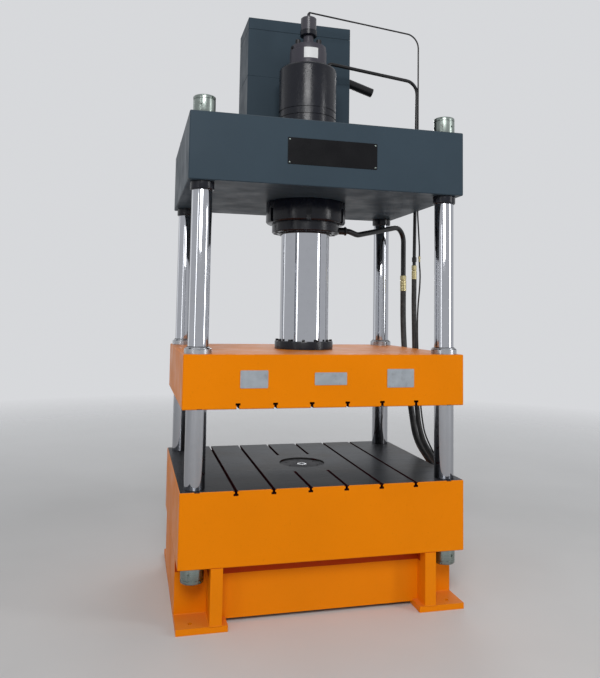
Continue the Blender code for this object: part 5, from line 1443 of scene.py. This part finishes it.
@dataclass
class Pipes:
    """The rigid pipes on the right, their sleeve, their union nuts and the screws of their clamp."""

    pressure_r: float = 0.011
    pressure_x: float = 0.775
    pressure_top_y: float = 0.118
    pressure_y: float = 0.155
    pressure_rise: float = 0.073      # of its highest bend above the head
    pressure_fall: float = 0.036
    pressure_straight: float = 0.040
    pressure_end: float = 1.862
    pressure_bends: Point = (0.032, 0.085, 0.085)
    sleeve: Pair = (1.884, 1.917)
    sleeve_wall: float = 0.004
    sleeve_chamfer: float = 0.002
    sleeve_shift: float = 0.0012
    return_r: float = 0.017
    return_x: float = 0.785
    return_y: float = 0.360
    return_lead: float = 0.031
    return_share: float = 0.14        # of its way, up to its lowest bend
    return_dip: float = 0.014
    return_rise: float = 0.100
    return_end: float = 1.806
    return_bends: Point = (0.040, 0.120, 0.090)
    tube_r: float = 0.005
    tube_x: float = 0.775
    tube_ys: Pair = (0.102, 0.073)
    tube_rise: float = 0.015
    tube_fall: float = 0.020
    tube_bend_z: float = 2.190
    tube_straight: float = 0.060
    tube_end: float = 1.915
    tube_bends: tuple[float, ...] = (0.0075, 0.085, 0.060, 0.060)
    nut_chamfer: float = 0.10         # a share of a union nut's radius
    clamp_y: float = 0.120
    clamp_z: float = 2.420
    clamp_wall: float = 0.005
    clamp_screw: SocketScrew = SocketScrew(0.0050, 0.0050)
    clamp_screw_zs: Pair = (-0.011, 0.011)

    def build(self) -> None:
        """Every pipe, the sleeve, the union nuts and the clamp's screws."""
        self.build_pressure()
        self.build_return()
        self.build_pilot()
        self.build_nuts()
        self.build_clamp()

    def pressure_start(self) -> Point:
        """Where the pressure pipe leaves the head's connection."""
        x, y, _ = Cylinder.pressure_port
        return x, y, HEAD_TOP + Cylinder.pressure_rise + GAP

    def return_start(self) -> Point:
        """Where the return pipe leaves the gland's connection."""
        return (Cylinder.gland_r + Cylinder.return_reach + GAP, 0,
                Cylinder.gland_bottom + Cylinder.return_rise)

    def pilot_start(self) -> Point:
        """Where the pilot tube leaves the pilot cylinder's nipple."""
        return 0, 0, PrefillValve.pilot_top + PrefillValve.nipple_height + GAP

    def build_pressure(self) -> None:
        """The pressure pipe from the head, and the sleeve above its fitting."""
        start, end = self.pressure_start(), self.pressure_end + GAP
        run, x, y, r = HEAD_TOP + self.pressure_rise, self.pressure_x, self.pressure_y, self.pressure_r
        path = bent_path([
            start, (*start[:2], run), (x, self.pressure_top_y, run - self.pressure_fall),
            (x, y, end + self.pressure_straight), (x, y, end),
        ], self.pressure_bends)
        tube_piece("pressure_tube", path, r, PIPE_BLACK, ("pressure_pipe",))
        (low, high), outer, c = self.sleeve, r + self.sleeve_wall, self.sleeve_chamfer
        outline = [(r, low), (outer, low + c), (outer, high - c), (r, high)]
        turned_piece("pressure_sleeve", outline, SMALL_SIDES, PIPE_BLACK, at=(x, y - self.sleeve_shift, 0))

    def build_return(self) -> None:
        """The return pipe from the gland, over to the right and down."""
        start = self.return_start()
        z, turn_x = start[2], Cylinder.gland_r + Cylinder.return_reach + self.return_lead
        dip_x = turn_x + (self.return_x - turn_x) * self.return_share
        path = bent_path([
            start, (turn_x, 0, z), (dip_x, self.return_y * self.return_share, z - self.return_dip),
            (self.return_x, self.return_y, z + self.return_rise),
            (self.return_x, self.return_y, self.return_end + GAP),
        ], self.return_bends)
        tube_piece("return_tube", path, self.return_r, PIPE_BLACK, ("return_pipe",))

    def build_pilot(self) -> None:
        """The thin pilot tube over the top and down the crown's side."""
        start, x, (upper_y, lower_y) = self.pilot_start(), self.tube_x, self.tube_ys
        run = start[2] + self.tube_rise
        path = bent_path([
            start, (0, 0, run), (x, upper_y, run - self.tube_fall), (x, upper_y, self.tube_bend_z),
            (x, lower_y, self.tube_end + self.tube_straight), (x, lower_y, self.tube_end + GAP),
        ], self.tube_bends)
        tube_piece("pilot_line", path, self.tube_r, PIPE_BLACK, ("pilot_tube",), 4)

    def build_nuts(self) -> None:
        """The union nuts where the pipes leave the head, the gland and the pilot cylinder."""
        for kind, bore, radius, height, at, axis in (
            ("pressure", self.pressure_r, 0.0200, 0.0155, self.pressure_start(), "Z"),
            ("return", self.return_r, 0.0270, 0.0140, self.return_start(), "X"),
            ("pilot", self.tube_r, 0.0098, 0.0070, self.pilot_start(), "Z"),
        ):
            c = self.nut_chamfer * radius
            outline = disc_outline(radius, 0, height, bore, c, c)
            turned_piece(f"{kind}_union_nut", outline, HEX_SIDES, PIPE_BLACK, at=at, axis=axis)

    def build_clamp(self) -> None:
        """Two screws on the pipe clamp's outer face."""
        face = self.pressure_x + self.pressure_r + self.clamp_wall + GAP
        seats = [((face, self.clamp_y, self.clamp_z + rise), (1, 0, 0)) for rise in self.clamp_screw_zs]
        self.clamp_screw.build("clamp_screws", seats)


@dataclass
class Plates:
    """The rivets of the crown's bare nameplate."""

    nameplate: tuple[float, float, float, float] = (0.000, 2.379, 0.490, 0.140)
    thickness: float = 0.002
    rivet_r: float = 0.0045
    rivet_dome: float = 0.45
    inset: float = 0.010

    def build(self) -> None:
        """Four domed rivets on the crown's nameplate."""
        x, z, width, height = self.nameplate
        face = -HALF_DEPTH - GAP - self.thickness
        bm = bmesh.new()
        for side in (-1, 1):
            for rise in (-1, 1):
                ball = bmesh.ops.create_uvsphere(bm, u_segments=16, v_segments=8, radius=self.rivet_r)
                bmesh.ops.scale(bm, vec=(1, self.rivet_dome, 1), verts=ball["verts"])
                place = (x + side * (width / 2 - self.inset), face, z + rise * (height / 2 - self.inset))
                bmesh.ops.translate(bm, vec=place, verts=ball["verts"])
        finish_mesh("nameplate_rivets", bm, ZINC)


@dataclass
class Slide:
    """The ram, its clamp ring and the guide bushes that move with the slide."""

    groove_r: float = 0.132
    groove_low: float = 0.018
    groove_high: float = 0.036
    spigot_r: float = 0.060
    spigot_depth: float = 0.018
    piston_low: float = 2.150
    piston_high: float = 2.270
    piston_chamfer: float = 0.005
    ring_r: float = 0.173
    ring_height: float = 0.047
    ring_edge: float = 0.004
    ring_screw: SocketScrew = SocketScrew(0.0090, 0.0100)
    ring_screws: int = 12
    ring_screw_circle: float = 0.1595
    bush_foot: float = 0.010
    bush_sleeve_r: float = 0.061
    bush_flange_r: float = 0.069
    bush_flange_height: float = 0.026
    bush_lip_r: float = 0.060
    bush_lip_height: float = 0.007
    bush_chamfer: float = 0.002
    bush_screw: SocketScrew = SocketScrew(0.0040, 0.0035)
    bush_screw_circle: float = 0.0645
    wiper_width: float = 0.0045

    def build(self) -> None:
        """The ram, its ring and the four bushes."""
        self.build_ram()
        self.build_ring()
        for corner in CORNERS:
            self.build_bush(corner)
        self.build_wipers()

    def build_wipers(self) -> None:
        """A thin wiper ring on each bush's lip, round the column."""
        face = SLIDE_TOP + GAP + self.bush_flange_height + self.bush_lip_height + GAP
        outline = wiper_outline(COLUMN_R + GAP, COLUMN_R + self.wiper_width, face, 1)
        bm = bmesh.new()
        for corner in CORNERS:
            add_turned(bm, outline, SIDES, (corner.x, corner.y, 0))
        finish_mesh("bush_wipers", bm, RUBBER, body=Body.SLIDE)

    def build_ram(self) -> None:
        """The chrome ram with its piston."""
        foot, piston, c = SLIDE_TOP + GAP, BORE_R - GAP, self.piston_chamfer
        low, high = SLIDE_TOP + self.groove_low, SLIDE_TOP + self.groove_high
        seat = SLIDE_TOP - self.spigot_depth
        turned_piece("ram_ground", [
            (0, seat), (self.spigot_r, seat), (self.spigot_r, foot), (RAM_R, foot), (RAM_R, low),
            (self.groove_r, low), (self.groove_r, high), (RAM_R, high), (RAM_R, self.piston_low),
            (piston, self.piston_low), (piston, self.piston_high - c), (piston - c, self.piston_high),
            (0, self.piston_high),
        ], FINE_SIDES, CHROME, ("ram",), Body.SLIDE)

    def build_ring(self) -> None:
        """The two half rings with their screws."""
        foot, crest, r, e = SLIDE_TOP + GAP, SLIDE_TOP + self.ring_height, self.ring_r, self.ring_edge
        inner, lip = RAM_R + GAP, self.groove_r + GAP
        low, high = SLIDE_TOP + self.groove_low + GAP, SLIDE_TOP + self.groove_high - GAP
        for place, side in (("front", -1), ("rear", 1)):
            bm = bmesh.new()
            add_turned(bm, [
                (inner, foot), (r, foot), (r, crest - e), (r - e / 4, crest - e / 4), (r - e, crest),
                (inner, crest), (inner, high), (lip, high), (lip, low), (inner, low),
            ], FINE_SIDES)
            clip(bm, (0, side * GAP, 0), (0, side, 0))
            finish_mesh(f"clamp_half_{place}", bm, BLACK, (f"ram_clamp_{place}",), Body.SLIDE)
        half_step = math.pi / self.ring_screws
        seats = ring_of(self.ring_screws, self.ring_screw_circle, crest + GAP, start=half_step)
        self.ring_screw.build("clamp_ring_screws", seats, Body.SLIDE)

    def build_bush(self, corner: Corner) -> None:
        """One flanged guide bush with its lip and screws."""
        inner, foot, seat = COLUMN_R + GAP, SLIDE_BOTTOM + self.bush_foot, SLIDE_TOP + GAP
        flange, sleeve, lip, c = self.bush_flange_r, self.bush_sleeve_r, self.bush_lip_r, self.bush_chamfer
        top = seat + self.bush_flange_height
        crest = top + self.bush_lip_height
        turned_piece(f"bush_{corner.name}", [
            (inner, foot), (sleeve, foot), (sleeve, seat), (flange, seat), (flange, top - c),
            (flange - c, top), (lip, top), (lip, crest - c), (lip - c, crest), (inner, crest),
        ], SIDES, STEEL, (f"guide_bush_{corner.name}",), Body.SLIDE, at=(corner.x, corner.y, 0))
        seats = ring_of(4, self.bush_screw_circle, top + GAP, start=math.pi / 4, centre=(corner.x, corner.y))
        self.bush_screw.build(f"bush_screws_{corner.name}", seats, Body.SLIDE)


@dataclass
class Ejector:
    """The plate in the bed's middle and the bright rod in it."""

    recess_r: float = 0.132
    plate_low: float = 0.6353
    plate_top: float = 0.657
    chamfer: float = 0.003
    screw: SocketScrew = SocketScrew(0.0065, 0.007)
    screws: int = 6
    screw_circle: float = 0.095
    sink_r: float = 0.0075
    sink_depth: float = 0.009
    rod_r: float = 0.030
    bore_r: float = 0.060
    piston_low: float = 0.085
    piston_high: float = 0.115
    thread_r: float = 0.015
    thread_chamfer: float = 0.001
    thread_depth: float = 0.040

    def build(self) -> None:
        """The plate with its screws, and the rod."""
        self.build_plate()
        self.build_rod()

    def build_plate(self) -> None:
        """The round plate with its sunk screws."""
        r, top, c, rod = self.recess_r - GAP, self.plate_top, self.chamfer, self.rod_r
        plate = turned_piece("middle_plate", [
            (rod + GAP, self.plate_low), (r, self.plate_low), (r, top - c), (r - c, top), (rod + c, top),
            (rod + GAP, top - c),
        ], SIDES, OILED_STEEL, ("ejector_plate",))
        floor = top - self.sink_depth
        seats = ring_of(self.screws, self.screw_circle, floor + GAP, start=math.pi / self.screws)
        sinks = bmesh.new()
        add_sinks(sinks, seats, self.sink_r, floor, top + REACH)
        cut(plate, sinks)
        self.screw.build("middle_plate_screws", seats)

    def build_rod(self) -> None:
        """The rod with its piston below and a thread in its top."""
        piston, r, thread = self.bore_r - GAP, self.rod_r, self.thread_r
        top, c, e = self.plate_top, self.chamfer, self.thread_chamfer
        turned_piece("rod_ground", [
            (0, self.piston_low), (piston, self.piston_low), (piston, self.piston_high),
            (r, self.piston_high), (r, top - c), (r - c, top), (thread + e, top), (thread, top - e),
            (thread, top - self.thread_depth), (0, top - self.thread_depth),
        ], SIDES, ROD_CHROME, ("ejector_rod",), Body.EJECTOR)


@dataclass
class BaseWelds:
    """The fillet welds that join the leg plates and side boxes to the foot plates."""

    bead_r: float = 0.0032
    foot_top: float = 0.030
    leg_inner: float = 0.530
    leg_outer: float = 0.590
    box_front: float = 0.398
    box_side: float = 0.747
    panel_front: float = 0.465
    roof: float = 0.004

    def build(self) -> None:
        """One bead round each leg and one up each inner corner."""
        z, top = self.foot_top, BASE_TOP - self.roof
        for corner in CORNERS:
            level = [(self.leg_inner, self.panel_front), (self.leg_inner, HALF_DEPTH),
                     (self.leg_outer, HALF_DEPTH), (self.leg_outer, self.box_front),
                     (self.box_side, self.box_front)]
            foot = [(corner.side * x, corner.back * y, z) for x, y in level]
            x, y = corner.side * self.leg_outer, corner.back * self.box_front
            upright = [(x, y, z), (x, y, top)]
            for part, path in (("foot", foot), ("corner", upright)):
                tube_piece(f"{part}_weld_{corner.name}", path, self.bead_r, BASE_ORANGE, (), 2)


CARRIED_OVER: dict[str, Finish] = {
    "base_frame": BASE_ORANGE, "bed": BED_ORANGE, "slide": SLIDE_ORANGE, "crown": GREY, "oil_tank": GREY,
    "oil_tank_lid": GREY, "crown_nameplate": NAME_BLACK, "pipe_clamp": PIPE_BLACK, "ejector_gland": BLACK,
    "ejector_cylinder": BLACK, "slide_label_left": LABEL, "slide_label_middle": LABEL,
    "slide_label_right": LABEL,
}


def dress_solids() -> None:
    """Give each solid that still shows its finish."""
    for name, finish in CARRIED_OVER.items():
        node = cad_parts[name]
        node.data.materials.clear()
        node.data.materials.append(finish.material())
        log.info("dressed %s", name)


def main() -> None:
    """Build the scene: camera and hoses first, then the press from the columns to the ejector."""
    logging.basicConfig(level=logging.INFO)
    studio = Studio()
    studio.build_camera()
    for hose in (PRESSURE_HOSE, RETURN_HOSE, PILOT_HOSE):
        hose.build()
    studio.build_floor()
    studio.build_light()
    for assembly in (Columns(), Cylinder(), PrefillValve(), Tank(), Pipes(), Plates(), BaseWelds(), Slide(),
                     Ejector()):
        assembly.build()
    dress_solids()


if __name__ == "__main__":
    main()
